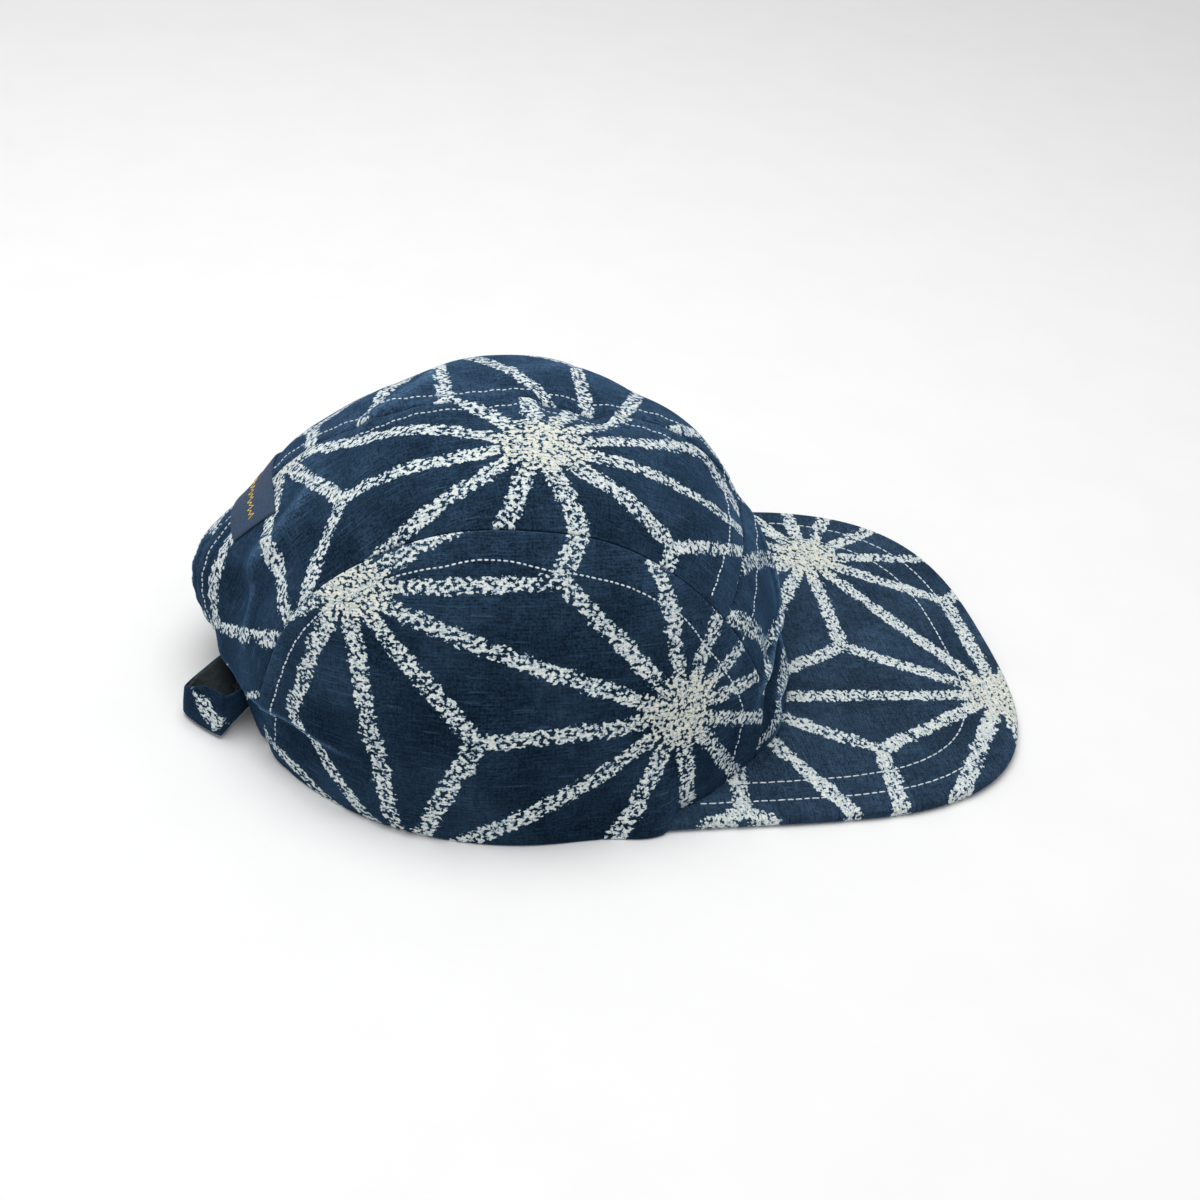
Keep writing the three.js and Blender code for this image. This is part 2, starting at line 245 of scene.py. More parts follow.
# How much of the print has stayed on each piece, as the share of a line that is covered, and the round spots
# that are bare: along and up the flat cloth, and their reach.
COVERAGE = {"side_panel_right": 0.528, "front_panel": 0.515, "brim": 0.572, "rear_strap": 0.54}
PLAIN_COVERAGE = 0.54
BARE = {
    "side_panel_right": ((-95, 31, 8),),
    "top_panel_right": ((78, -55, 11), (-126, -35, 7.5), (-136, -22, 7.5)),
    "rear_strap": ((59, 17, 4.5), (48, 0, 3.5)),
}

# Cloth that is eased into a seam or a fold carries its print along: along and up the flat cloth, the reach,
# and the shift there.
EASES = {
    "top_panel_right": (
        (-134, -2, 26, (10, 19)),
        (-122, -35, 20, (-8, 13)),
        (-82, 18, 20, (-3, 2)),
        (-1, -25, 20, (2, 2)),
        (47, -48, 18, (2, -1)),
        (68, -20, 18, (3, 3)),
    ),
}

# The camera, solved from the photograph: its turn, rise and roll, its distance from the crown's centre, the
# picture's pixels per millimetre there, and where that centre lies in the picture.
CAMERA = {"turn": 15.78, "rise": 36.01, "roll": -6.96, "distance": 657.43, "scale": 2.89}
CENTRE_PIXEL = (511.32, 681.35)
SENSOR = 36.0
KEY_SIZE = 0.9
KEY_PLACE = (-0.15, 0.05, 0.95)

CROWN_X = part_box("brim")[1].x / MM - SOLID_FRONT


def to_frame(points):
    """Points in metres in the frame: the millimetre points moved by the crown's centre."""
    return (np.asarray(points, float) + (CROWN_X, 0.0, 0.0)) * MM


def curve_through(keys, values, at):
    """A smooth curve through a table: cubic pieces whose slopes are those between the neighbouring rows."""
    last = len(keys) - 1
    at = np.clip(at, keys[0], keys[-1])
    before = np.maximum(np.arange(last + 1) - 1, 0)
    after = np.minimum(np.arange(last + 1) + 1, last)
    slope = (values[after] - values[before]) / (keys[after] - keys[before])
    i = np.clip(np.searchsorted(keys, at, side="right") - 1, 0, last - 1)
    h = keys[i + 1] - keys[i]
    t = (at - keys[i]) / h
    start = values[i] * (2 * t**3 - 3 * t**2 + 1) + h * slope[i] * (t**3 - 2 * t**2 + t)
    end = values[i + 1] * (3 * t**2 - 2 * t**3) + h * slope[i + 1] * (t**3 - t**2)
    return start + end


def bell(distance, reach):
    """A bell of height one: exp(-(distance/reach)**2)."""
    return np.exp(-((distance / reach) ** 2))


def smooth(share):
    """A share held between 0 and 1 that leaves both ends level: t**2 (3 - 2t)."""
    t = np.clip(share, 0, 1)
    return t**2 * (3 - 2 * t)


def through(points, run, at):
    """Points of a line at some lengths along it."""
    return np.stack([np.interp(at, run, points[:, i]) for i in range(3)], -1)


def seam_at(name, angle):
    """The named column of the rib table at an angle over the crown."""
    return curve_through(RIBS[:, 0], RIBS[:, RIB_COLUMNS.index(name)], np.asarray(angle, float))


def fullness_at(across):
    """How far a rib reaches at a sideways place, as a share of its reach in the middle: a circle's height."""
    return np.sqrt(np.maximum(0, 1 - (across / HALF_WIDTH) ** 2))


def crown_point(angle, across):
    """The crown before its fine folds: reach times fullness, plus the dents' bells, turned by the rib's
    angle, with the sides flared out where the brim's ends push them."""
    fullness = fullness_at(across)
    reach = seam_at("radius", angle) * fullness
    for height, dent_angle, angle_reach, dent_across, across_reach in DENTS:
        dent = height * bell(angle - dent_angle, angle_reach) * bell(across - dent_across, across_reach)
        reach = reach + dent * np.minimum(1, DENT_GROWTH * fullness)
    x = reach * np.cos(np.radians(angle))
    z = reach * np.sin(np.radians(angle))
    spread = np.where(x < FLARE["x"], FLARE["rear"], FLARE["front"])
    flare = FLARE["out"] * bell(x - FLARE["x"], spread) * bell(z, FLARE["height"])
    return np.stack([x, across + np.sign(across) * flare * (across / HALF_WIDTH) ** 2, z], -1)


def unit(vectors):
    """Vectors of length one."""
    return vectors / np.maximum(np.linalg.norm(vectors, axis=-1, keepdims=True), 1e-9)


def crown_normal(angle, across):
    """The crown's outward direction: the cross product of two short steps over it, sideways at the poles."""
    turn_step, side_step = 0.5, 0.2
    ahead = crown_point(np.minimum(angle + turn_step, 180), across)
    along = ahead - crown_point(np.maximum(angle - turn_step, 0), across)
    aside = crown_point(angle, np.minimum(across + side_step, HALF_WIDTH))
    aside = aside - crown_point(angle, np.maximum(across - side_step, -HALF_WIDTH))
    normal = unit(np.cross(aside, along))
    pole = (fullness_at(across) < POLE_FULLNESS)[..., None]
    sideways = np.stack([0 * across, np.sign(across), 0 * across], -1)
    return np.where(pole, sideways, normal)


def nearest(points, curve):
    """Distance from each point to a curve's nearest sample, and that sample's index, a batch at a time."""
    flat = points.reshape(-1, 3)
    distance = np.empty(len(flat))
    index = np.empty(len(flat), int)
    batch = 4000
    for start in range(0, len(flat), batch):
        part = flat[start : start + batch]
        square = (part**2).sum(1)[:, None] + (curve**2).sum(1)[None] - 2 * part @ curve.T
        index[start : start + batch] = square.argmin(1)
        distance[start : start + batch] = np.sqrt(np.maximum(square.min(1), 0))
    return distance.reshape(points.shape[:-1]), index.reshape(points.shape[:-1])


def run_of(curve):
    """Length along a curve at each of its samples."""
    return np.concatenate([[0], np.cumsum(np.linalg.norm(np.diff(curve, axis=0), axis=1))])


def front_seam_angle(across):
    """The front seam's angle: lowest in the middle, with a slight rise to both sides."""
    return FRONT_SEAM["middle"] + FRONT_SEAM["rise"] * (across / FRONT_SEAM["half_length"]) ** 2


def arch_angle(across):
    """The rear opening's upper edge: a squarish arch."""
    share = np.maximum(0, 1 - np.abs(across / ARCH["half_width"]) ** ARCH["squareness"])
    return 180 - ARCH["angle"] * np.sqrt(share)


def seam_places():
    """The four seam lines as (angle, across) samples."""
    whole = np.linspace(0, 180, SEAM_SAMPLES["arc"])
    over = np.linspace(FRONT_SEAM["middle"], 180 - ARCH["angle"], SEAM_SAMPLES["over"])
    wide = np.linspace(-FRONT_SEAM["half_length"], FRONT_SEAM["half_length"], SEAM_SAMPLES["front"])
    return {
        "right": (whole, seam_at("right", whole)),
        "left": (whole, seam_at("left", whole)),
        "centre": (over, seam_at("centre", over)),
        "front": (front_seam_angle(wide), wide),
    }


SEAMS = {name: crown_point(*place) for name, place in seam_places().items()}
SEAM_ANGLES = {name: place[0] for name, place in seam_places().items()}


def arc_row_offset(angle):
    """Distance of an arc seam's topstitching from the seam: it widens towards the front."""
    return np.interp(angle, ARC_ROW["angles"], ARC_ROW["offsets"])


def pressed(distance, row):
    """Height of the allowances under one side of a seam: a low plateau that ends just past the row, and the
    row's dip in it."""
    rise = np.clip(distance / ALLOWANCES["rise"], 0, 1)
    fall = smooth((row + ALLOWANCES["fall"] - distance) / ALLOWANCES["fall"])
    dip = STITCH_DIP["crown"] * bell(distance - row, STITCH_DIP["width"])
    return ALLOWANCES["height"] * rise * fall - dip


def puckers(run, distance, row):
    """Small waves across a row, of uneven length, strongest at the stitches."""
    drift = sum(share * np.sin(run / length) for share, length in PUCKER_DRIFTS)
    phase = 2 * np.pi * (run / PUCKER["wave"] + drift)
    return PUCKER["height"] * np.sin(phase) * bell(distance - row, PUCKER["reach"])


# Each panel's seams: the seam, the row beside it, and whether the allowances lie under this panel.
TOP_SEAMS = (("centre", "centre", True), ("front", "above", True))
PANEL_SEAMS = {
    "side_panel_right": (("right", "arc", True),),
    "side_panel_left": (("left", "arc", True),),
    "top_panel_right": (("right", "none", False), *TOP_SEAMS),
    "top_panel_left": (("left", "none", False), *TOP_SEAMS),
    "front_panel": (("right", "none", False), ("left", "none", False), ("front", "below", True)),
}


def seam_relief(panel, points):
    """Height that seams give to a panel's points: pressed allowances with the row's dip, and puckers."""
    height = np.zeros(points.shape[:-1])
    for name, kind, allowances in PANEL_SEAMS[panel]:
        distance, index = nearest(points, SEAMS[name])
        row = arc_row_offset(SEAM_ANGLES[name][index]) if kind == "arc" else ROWS[kind]
        run = run_of(SEAMS[name])[index]
        if allowances:
            height = height + pressed(distance, row) + puckers(run, distance, row)
        else:
            height = height + PUCKER["no_row"] * puckers(run, distance, row)
    return height


def fold_relief(points, normals):
    """Height of the folds, and how worn they are, partly as a painted highlight on their crests. Along each
    path there is a bell of its height and width, and a smooth step across it; the wear and painted highlight
    are a narrower bell. All fade out at the path's ends."""
    samples = 24
    height = np.zeros(points.shape[:-1])
    wear_and_sheen = np.zeros(points.shape[:-1])
    for ridge, width, step, crest_wear_and_highlight, stops in FOLDS:
        stops = np.array(stops, float)
        count = samples * (len(stops) - 1)
        keys = np.arange(len(stops), dtype=float)
        at = np.linspace(0, keys[-1], count)
        path = crown_point(curve_through(keys, stops[:, 0], at), curve_through(keys, stops[:, 1], at))
        distance, index = nearest(points, path)
        share = index / (count - 1)
        fade = smooth(np.minimum(share, 1 - share) / FOLD_FADE)
        # Wear on the fold's crest, partly a painted highlight where light would catch the ridge.
        wear_and_sheen = wear_and_sheen + crest_wear_and_highlight * bell(FOLD_WEAR_AND_HIGHLIGHT * distance, width) * fade
        height = height + ridge * bell(distance, width) * fade
        if step:
            tangent = unit(np.gradient(path, axis=0))[index]
            side = (np.cross(tangent, normals) * (points - path[index])).sum(-1)
            swing = np.tanh(side / width) * bell(distance, FOLD_STEP_REACH)
            height = height + 0.5 * step * swing * fade
    return height, wear_and_sheen


def undulation(points):
    """Slow unevenness of soft cloth: the sum of a few waves in random directions, of one fixed seed."""
    rng = np.random.default_rng(UNDULATION["seed"])
    height = np.zeros(points.shape[:-1])
    for _ in range(UNDULATION["waves"]):
        direction = unit(rng.normal(size=3))
        wave = rng.uniform(UNDULATION["shortest"], UNDULATION["longest"])
        phase = rng.uniform(0, 2 * np.pi)
        height = height + UNDULATION["height"] * np.sin(2 * np.pi * (points @ direction) / wave + phase)
    return height


def cloth_surface(panel, angle, across):
    """A panel's outer cloth: the crown raised by its folds, its unevenness and its seams. Also its outward
    direction and its paling: wear on the folds with a painted highlight along their crests, slight paling over
    raised seam allowances, and a painted sheen on cloth that faces up."""
    points = crown_point(angle, across)
    normals = crown_normal(angle, across)
    calm = np.clip(points[..., 2] / HEM_CALM, 0, 1)
    # Painted sheen: cloth that faces up is paled as if lit from above, more so towards the wearer's left.
    leftwards = np.clip((across / SHEEN_AND_SEAM_PALING["half_span"] + 1) / 2, 0, 1)
    upwards = np.clip(normals[..., 2] * SHEEN_AND_SEAM_PALING["steepness"] - SHEEN_AND_SEAM_PALING["start"], 0, 1)
    painted_sheen = (SHEEN_AND_SEAM_PALING["least"] + SHEEN_AND_SEAM_PALING["more"] * leftwards) * upwards
    folds, wear_and_sheen = fold_relief(points, normals)
    seams = seam_relief(panel, points)
    height = (folds + undulation(points)) * calm + seams
    wear_and_sheen = wear_and_sheen + painted_sheen + SHEEN_AND_SEAM_PALING["seams"] * np.clip(seams / ALLOWANCES["height"], 0, 1)
    return points + normals * height[..., None], normals, np.clip(wear_and_sheen, 0, 1)


def flatten_side(angle, across):
    """A side panel laid flat: distance from the middle of its hem, in the rib's direction."""
    reach = (seam_at("radius", angle) + HALF_WIDTH) / 2 * np.arcsin(np.clip(fullness_at(across), 0, 1))
    return reach * np.cos(np.radians(angle)), reach * np.sin(np.radians(angle))


def flatten_top(angle, across):
    """A top or front panel laid flat: length forward over the crown, and length sideways round it."""
    mean_reach = 105.0
    return mean_reach * np.radians(90 - angle), HALF_WIDTH * np.arcsin(across / HALF_WIDTH)


def print_place(piece, along, up):
    """Where points of the flat cloth lie on the print, a lattice of spacing LATTICE with a star at its
    origin: the place from the piece's star, bent by its taper, bow and sag, turned, leant and stretched, and
    eased."""
    row = dict(zip(PRINT_COLUMNS, PRINTS[piece]))
    p = along - row["along"]
    q = up - row["up"]
    bent_p = p * (1 + row["taper"] * q / BEND_LENGTH) + row["sag"] * q * q / BEND_LENGTH
    bent_q = q + row["bow"] * p * p / BEND_LENGTH
    turn = np.radians(row["turn"])
    u = bent_p * np.cos(turn) + bent_q * np.sin(turn)
    v = -bent_p * np.sin(turn) + bent_q * np.cos(turn)
    u = u / row["stretch"] + row["lean"] * v
    place = np.stack([u, v, 0 * u], -1) * LATTICE / row["spacing"]
    for ease_along, ease_up, reach, shift in EASES.get(piece, ()):
        share = bell(np.hypot(along - ease_along, up - ease_up), reach)
        place = place + share[..., None] * (*shift, 0.0)
    return place


def refined(count, span):
    """Grid lines from 0 to 1 over a span in millimetres: even ones, and closer ones beside both edges."""
    even = np.linspace(0, 1, count)
    clear = EDGE_CLEAR / span
    close = EDGE_LINES / span
    return np.unique(np.concatenate([even[(even >= clear) & (even <= 1 - clear)], close, 1 - close]))


def grid_faces(rows, columns, offset=0):
    """Quads between neighbouring points of a grid that is stored row by row."""
    k = np.arange((rows - 1) * (columns - 1))
    k = offset + (k // (columns - 1)) * columns + k % (columns - 1)
    return np.stack([k, k + columns, k + columns + 1, k + 1], -1)


def wall_between(outer, inner):
    """Points and faces of a closed wall: the outer grid, the inner one turned over, and a border of quads."""
    rows, columns = outer.shape[:2]
    count = rows * columns
    k = np.arange(count).reshape(rows, columns)
    loop = np.concatenate([k[0, :-1], k[:-1, -1], k[-1, :0:-1], k[:0:-1, 0]])
    following = np.roll(loop, -1)
    border = np.stack([loop, following, following + count, loop + count], -1)
    faces = np.concatenate([grid_faces(rows, columns), grid_faces(rows, columns, count)[:, ::-1], border])
    points = np.concatenate([outer.reshape(-1, 3), inner.reshape(-1, 3)])
    return points, faces


def outwards(points, faces):
    """Faces turned so that a closed mesh holds a positive volume."""
    a, b, c, d = (points[faces[:, i]] for i in range(4))
    six = (a * np.cross(b, c)).sum() + (a * np.cross(c, d)).sum()
    return faces if six > 0 else faces[:, ::-1]


def add_piece(name, points, faces, slot, material, vectors=None, values=None):
    """A smooth mesh object from millimetre points, with its named vector and value attributes. It rides on
    the cap."""
    mesh = bpy.data.meshes.new(name)
    mesh.from_pydata(to_frame(points).tolist(), [], outwards(points, faces).tolist())
    mesh.polygons.foreach_set("use_smooth", np.ones(len(mesh.polygons), bool))
    for kind, field, table in (("FLOAT_VECTOR", "vector", vectors), ("FLOAT", "value", values)):
        for key, data in (table or {}).items():
            layer = mesh.attributes.new(key, kind, "POINT")
            layer.data.foreach_set(field, np.ravel(data).astype(np.float32))
    mesh.materials.append(material)
    mesh.update()
    piece = bpy.data.objects.new(name, mesh)
    bpy.context.scene.collection.objects.link(piece)
    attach(piece, "root")
    return piece


def coverage(piece, along, up):
    """A piece's print coverage at places of its flat cloth: even, apart from the round bare spots."""
    share = COVERAGE.get(piece, PLAIN_COVERAGE) + 0 * along
    for spot_along, spot_up, reach in BARE.get(piece, ()):
        square = ((along - spot_along) ** 2 + (up - spot_up) ** 2) / reach**2
        share = share * (1 - bell(square, 1))
    return share


def twice(data):
    """The same data for a wall's outer and inner grid."""
    flat = data.reshape(-1, data.shape[-1]) if data.ndim == 3 else data.ravel()
    return np.concatenate([flat, flat])


def edge_distance(points):
    """Distance of a grid's points from the grid's border."""
    border = np.concatenate([points[0], points[:, -1], points[-1, ::-1], points[::-1, 0]])
    return nearest(points, border)[0]


def turned_edge(distance):
    """How far a panel's face rolls inwards beside its border: a quarter circle."""
    share = np.clip(1 - distance / EDGE_ROLL, 0, 1)
    return EDGE_ROLL * (1 - np.sqrt(1 - share**2))


def crown_panel(name, places, flatten, cloth):
    """One sewn panel: its cloth surface with turned edges, and its wall."""
    angle, across = places
    points, normals, wear_and_sheen = cloth_surface(name, angle, across)
    roll = turned_edge(edge_distance(crown_point(angle, across)))
    outer = points - normals * roll[..., None]
    inner = points - normals * WALL
    for side in (outer, inner):
        side[..., 2] = np.maximum(side[..., 2], 0)
    corners, faces = wall_between(outer, inner)
    along, up = flatten(angle, across)
    rubbed = (roll > EDGE_WEAR["from"]) & (roll < EDGE_WEAR["to"])
    wear_and_sheen = np.clip(wear_and_sheen + EDGE_WEAR["wear_and_sheen"] * rubbed, 0, 1)
    reverse = np.concatenate([np.zeros(wear_and_sheen.size), np.ones(wear_and_sheen.size)])
    grain = np.stack([along, up, 0 * up], -1)
    vectors = {"print_place": twice(print_place(name, along, up)), "grain_place": twice(grain)}
    values = {"wear_and_sheen": twice(wear_and_sheen), "reverse": reverse, "coverage": twice(coverage(name, along, up))}
    piece = add_piece(name + "_cloth", corners, faces, "printed_cloth", cloth, vectors, values)
    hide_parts(name)


def panel_grid(kind):
    """A panel's grid, as shares from 0 to 1 both ways."""
    return np.meshgrid(*(refined(*row) for row in PANEL_GRIDS[kind]), indexing="ij")


def side_places(seam):
    """A D-shaped side panel: a half square pressed into a half disc, whose round edge is the arc seam."""
    s, t = panel_grid("side")
    u = 2 * s - 1
    forward = u * np.sqrt(1 - t * t / 2)
    upward = t * np.sqrt(1 - u * u / 2)
    angle = np.degrees(np.arctan2(upward, forward))
    edge = seam_at(seam, angle)
    share = np.hypot(forward, upward) * fullness_at(np.abs(edge) + SEAM_GAP / 2)
    return angle, np.sign(edge) * HALF_WIDTH * np.sqrt(np.maximum(1 - share * share, 0))


def top_places(seam):
    """A top panel, from the front seam to the rear arch and from the centre seam to one arc seam. Angle and
    across hang on each other at its edges, so they settle in a few rounds."""
    side = 1 if seam == "left" else -1
    s, t = panel_grid("top")
    angle = FRONT_SEAM["middle"] + s * (180 - FRONT_SEAM["middle"])
    for _ in range(ROUNDS):
        inner = seam_at("centre", angle) + side * SEAM_GAP / 2
        outer = seam_at(seam, angle) - side * SEAM_GAP / 2
        across = inner + t * (outer - inner)
        first = front_seam_angle(across) + GAP_TURN
        angle = first + s * (arch_angle(across) - first)
    return angle, across


def front_places():
    """The front panel, from the hem up to the front seam, settled in the same way."""
    s, t = panel_grid("front")
    angle = t * FRONT_SEAM["middle"]
    for _ in range(ROUNDS):
        right = seam_at("right", angle) + SEAM_GAP / 2
        left = seam_at("left", angle) - SEAM_GAP / 2
        across = right + s * (left - right)
        angle = t * (front_seam_angle(across) - GAP_TURN)
    return angle, across


def brim_outline(side, inset=0.0):
    """The brim's outline at a share from -1 to 1 round it, smaller by inset: (x/length)**forward +
    (y/half_width)**sideways = 1 about the root line, with each ray's length found by Newton's steps, and
    drawn in towards the root by BRIM_WAIST. Past BRIM_TAIL's share a short straight end lies under the
    crown."""
    sweep = np.clip(side / BRIM_TAIL["share"], -1, 1) * np.pi / 2
    back = BRIM_TAIL["length"] * np.clip((np.abs(side) - BRIM_TAIL["share"]) / (1 - BRIM_TAIL["share"]), 0, 1)
    forward, sideways = BRIM_POWERS["forward"], BRIM_POWERS["sideways"]
    length = np.maximum(np.abs(np.cos(sweep)), 1e-6) / (BRIM["length"] - inset)
    width = np.maximum(np.abs(np.sin(sweep)), 1e-6) / (BRIM["half_width"] - inset)
    ray = np.minimum(1 / length, 1 / width)
    for _ in range(12):
        long_part, wide_part = (ray * length) ** forward, (ray * width) ** sideways
        ray = ray * (1 - (long_part + wide_part - 1) / (forward * long_part + sideways * wide_part))
    x, y = ray * np.cos(sweep), ray * np.sin(sweep)
    waist = 1 - BRIM_WAIST["share"] * np.clip(1 - x / BRIM_WAIST["length"], 0, 1)
    return np.stack([BRIM["root"] - back + x, y * waist], -1)


def brim_rise(y):
    """The brim's slight camber."""
    return BRIM["camber"] * np.maximum(0, 1 - (y / BRIM["half_width"]) ** 2)


def brim_sides(count):
    """Shares round the outline that give even steps along it."""
    fine = np.linspace(-1, 1, SEAM_SAMPLES["brim"])
    run = run_of(brim_outline(fine))
    return np.interp(np.linspace(0, run[-1], count), run, fine)


def brim_rows_dip(plan):
    """The dip that the two topstitch rows press into the brim's cloth, with fine puckers beside them."""
    fine = np.linspace(-1, 1, ROW_SAMPLES["brim_dip"])
    flat = np.concatenate([plan, 0 * plan[..., :1]], -1)
    dip = np.zeros(plan.shape[:-1])
    for inset in BRIM_ROWS:
        line = brim_outline(fine, inset)
        line = np.concatenate([line, 0 * line[:, :1]], -1)
        distance, index = nearest(flat, line)
        dip = dip - STITCH_DIP["brim"] * bell(distance, STITCH_DIP["width"])
        dip = dip + PUCKER["brim"] * puckers(run_of(line)[index], distance, 0.0)
    return dip


def brim_piece():
    """The brim: from under the crown's hem over the top, round the edge and back underneath to the root."""
    side = brim_sides(BRIM_GRID["around"])
    turn = side * np.arccos((BRIM["root"] - BRIM_TAIL["length"]) / RIBS[0, 1])
    hem = crown_point(0 * turn, HALF_WIDTH * np.sin(turn))[:, :2]
    root = hem - BRIM_TUCK * unit(np.stack([np.cos(turn) / RIBS[0, 1], np.sin(turn) / HALF_WIDTH], -1))
    edge = brim_outline(side, BRIM_EDGE_ROUND)
    small_inset = 2.0
    outward = unit(brim_outline(side) - brim_outline(side, small_inset) + (1e-6, 0))
    half = BRIM["thickness"] / 2
    face = np.linspace(0, 1, BRIM_GRID["face"])
    bend = np.linspace(0, np.pi, BRIM_GRID["edge"])
    flat = np.ones(len(face) - 1)
    shares = np.concatenate([face, np.ones(len(bend) - 2), face[::-1]])
    proud = np.concatenate([0 * flat, BRIM_EDGE_ROUND * np.sin(bend), 0 * flat])
    level = np.concatenate([flat, np.cos(bend), -flat])
    plan = root[:, None] + (edge - root)[:, None] * shares[:, None] + outward[:, None] * proud[:, None]
    z = brim_rise(plan[..., 1]) + half + half * level
    upper_face = level > 0.99
    z = z + np.where(upper_face, brim_rows_dip(plan), 0)
    return closed_tube(np.concatenate([plan, np.maximum(z, 0)[..., None]], -1))


def capsule(length, width, height):
    """One stitch lying along x: the rings of an ellipsoid, with small flat ends."""
    end = STITCH_GRID["end"]
    u = np.linspace(end, np.pi - end, STITCH_GRID["along"])
    v = np.linspace(0, 2 * np.pi, STITCH_GRID["around"], endpoint=False)
    x = -np.cos(u)[:, None] * length / 2 / np.cos(end) * np.ones(len(v))
    swell = np.sqrt(np.sin(u))[:, None]
    points = np.stack([x, swell * np.cos(v) * width / 2, swell * np.sin(v) * height / 2], -1)
    return closed_tube(points)


def stitches_along(points, normals, length, gap, width=STITCH_WIDTH):
    """Stitches of slightly uneven length along a line on a surface, each turned to the line and surface."""
    run = run_of(points)
    number = np.arange(int((run[-1] - gap) / (length + gap)))
    swing = np.sin(STITCH_UNEVENNESS["turn"] * number) * np.sin(STITCH_UNEVENNESS["slow_turn"] * number)
    lengths = length * (1 + STITCH_UNEVENNESS["share"] * swing)
    starts = gap + np.concatenate([[0], np.cumsum(lengths[:-1] + gap)])
    starts = starts * (run[-1] - 2 * gap) / (starts[-1] + lengths[-1])
    first, last = through(points, run, starts), through(points, run, starts + lengths)
    up = unit(through(normals, run, starts + lengths / 2))
    ahead = unit(last - first)
    aside = unit(np.cross(up, ahead))
    up = np.cross(ahead, aside)
    shape, quads = capsule(length, width, width * STITCH_FLATNESS)
    middle = (first + last) / 2 + up * STITCH_LIFT
    placed = (
        middle[:, None]
        + shape[None, :, :1] * ahead[:, None] * (lengths / length)[:, None, None]
        + shape[None, :, 1:2] * aside[:, None]
        + shape[None, :, 2:] * up[:, None]
    )
    faces = quads[None] + (np.arange(len(starts)) * len(shape))[:, None, None]
    return placed.reshape(-1, 3), faces.reshape(-1, 4)


def end_strip(loop, turned):
    """Quads across a loop of an even number of points, from its first and last point to its middle."""
    half = len(loop) // 2
    near, far = loop[:half], loop[::-1][:half]
    strip = np.stack([near[:-1], near[1:], far[1:], far[:-1]], -1)
    return strip[:, ::-1] if turned else strip


def closed_tube(points):
    """Points and quads of a tube whose rings are the rows of a grid, closed at both ends."""
    rows, columns = points.shape[:2]
    k = np.arange(rows * columns).reshape(rows, columns)
    following = np.roll(k, -1, axis=1)
    around = np.stack([k[:-1], following[:-1], following[1:], k[1:]], -1).reshape(-1, 4)
    faces = np.concatenate([around, end_strip(k[0], True), end_strip(k[-1], False)])
    return points.reshape(-1, 3), faces


def joined(parts):
    """Several meshes' points and faces as one."""
    points, faces, start = [], [], 0
    for p, f in parts:
        points.append(p)
        faces.append(f + start)
        start += len(p)
    return np.concatenate(points), np.concatenate(faces)


def row_beside(seam, angle, across, step_angle, step_across, offset):
    """A line on the crown at a distance from a seam: each place takes a step, corrected a few times."""
    share = np.ones_like(angle)
    for _ in range(ROW_ROUNDS):
        point = crown_point(angle + share * step_angle, across + share * step_across)
        distance = nearest(point, SEAMS[seam])[0]
        share = share * np.clip(offset / np.maximum(distance, 0.1), *ROW_LIMITS)
    return angle + share * step_angle, across + share * step_across


def crown_rows():
    """The topstitch rows of the crown: the panel that each lies on, and its places."""
    start, end = ROW_ENDS["centre"]
    arc = np.linspace(*ROW_ENDS["arc"], ROW_SAMPLES["arc"])
    over = np.linspace(FRONT_SEAM["middle"] + start, 180 - ARCH["angle"] + end, ROW_SAMPLES["centre"])
    wide = np.linspace(*ROW_ENDS["front"], ROW_SAMPLES["front"])
    rows = []
    for seam, sign in (("right", -1), ("left", 1)):
        step = sign * ROW_STEPS["arc"]
        places = row_beside(seam, arc, seam_at(seam, arc), 0, step, arc_row_offset(arc))
        rows.append(("side_panel_" + seam, places))
    for side, sign in (("right", -1), ("left", 1)):
        step = sign * ROW_STEPS["centre"]
        places = row_beside("centre", over, seam_at("centre", over), 0, step, ROWS["centre"])
        rows.append(("top_panel_" + side, places))
    for panel, kind, sign in (("top_panel_right", "above", 1), ("front_panel", "below", -1)):
        step = sign * ROW_STEPS["front"]
        rows.append((panel, row_beside("front", front_seam_angle(wide), wide, step, 0, ROWS[kind])))
    return rows


def strap_edge(prefix, share):
    """The strap's foot or head line at a share of its length."""
    keys = np.arange(len(STRAP), dtype=float)
    at = share * keys[-1]
    columns = [STRAP[:, STRAP_COLUMNS.index(prefix + axis)] for axis in ("_x", "_y", "_z")]
    return np.stack([curve_through(keys, column, at) for column in columns], -1)


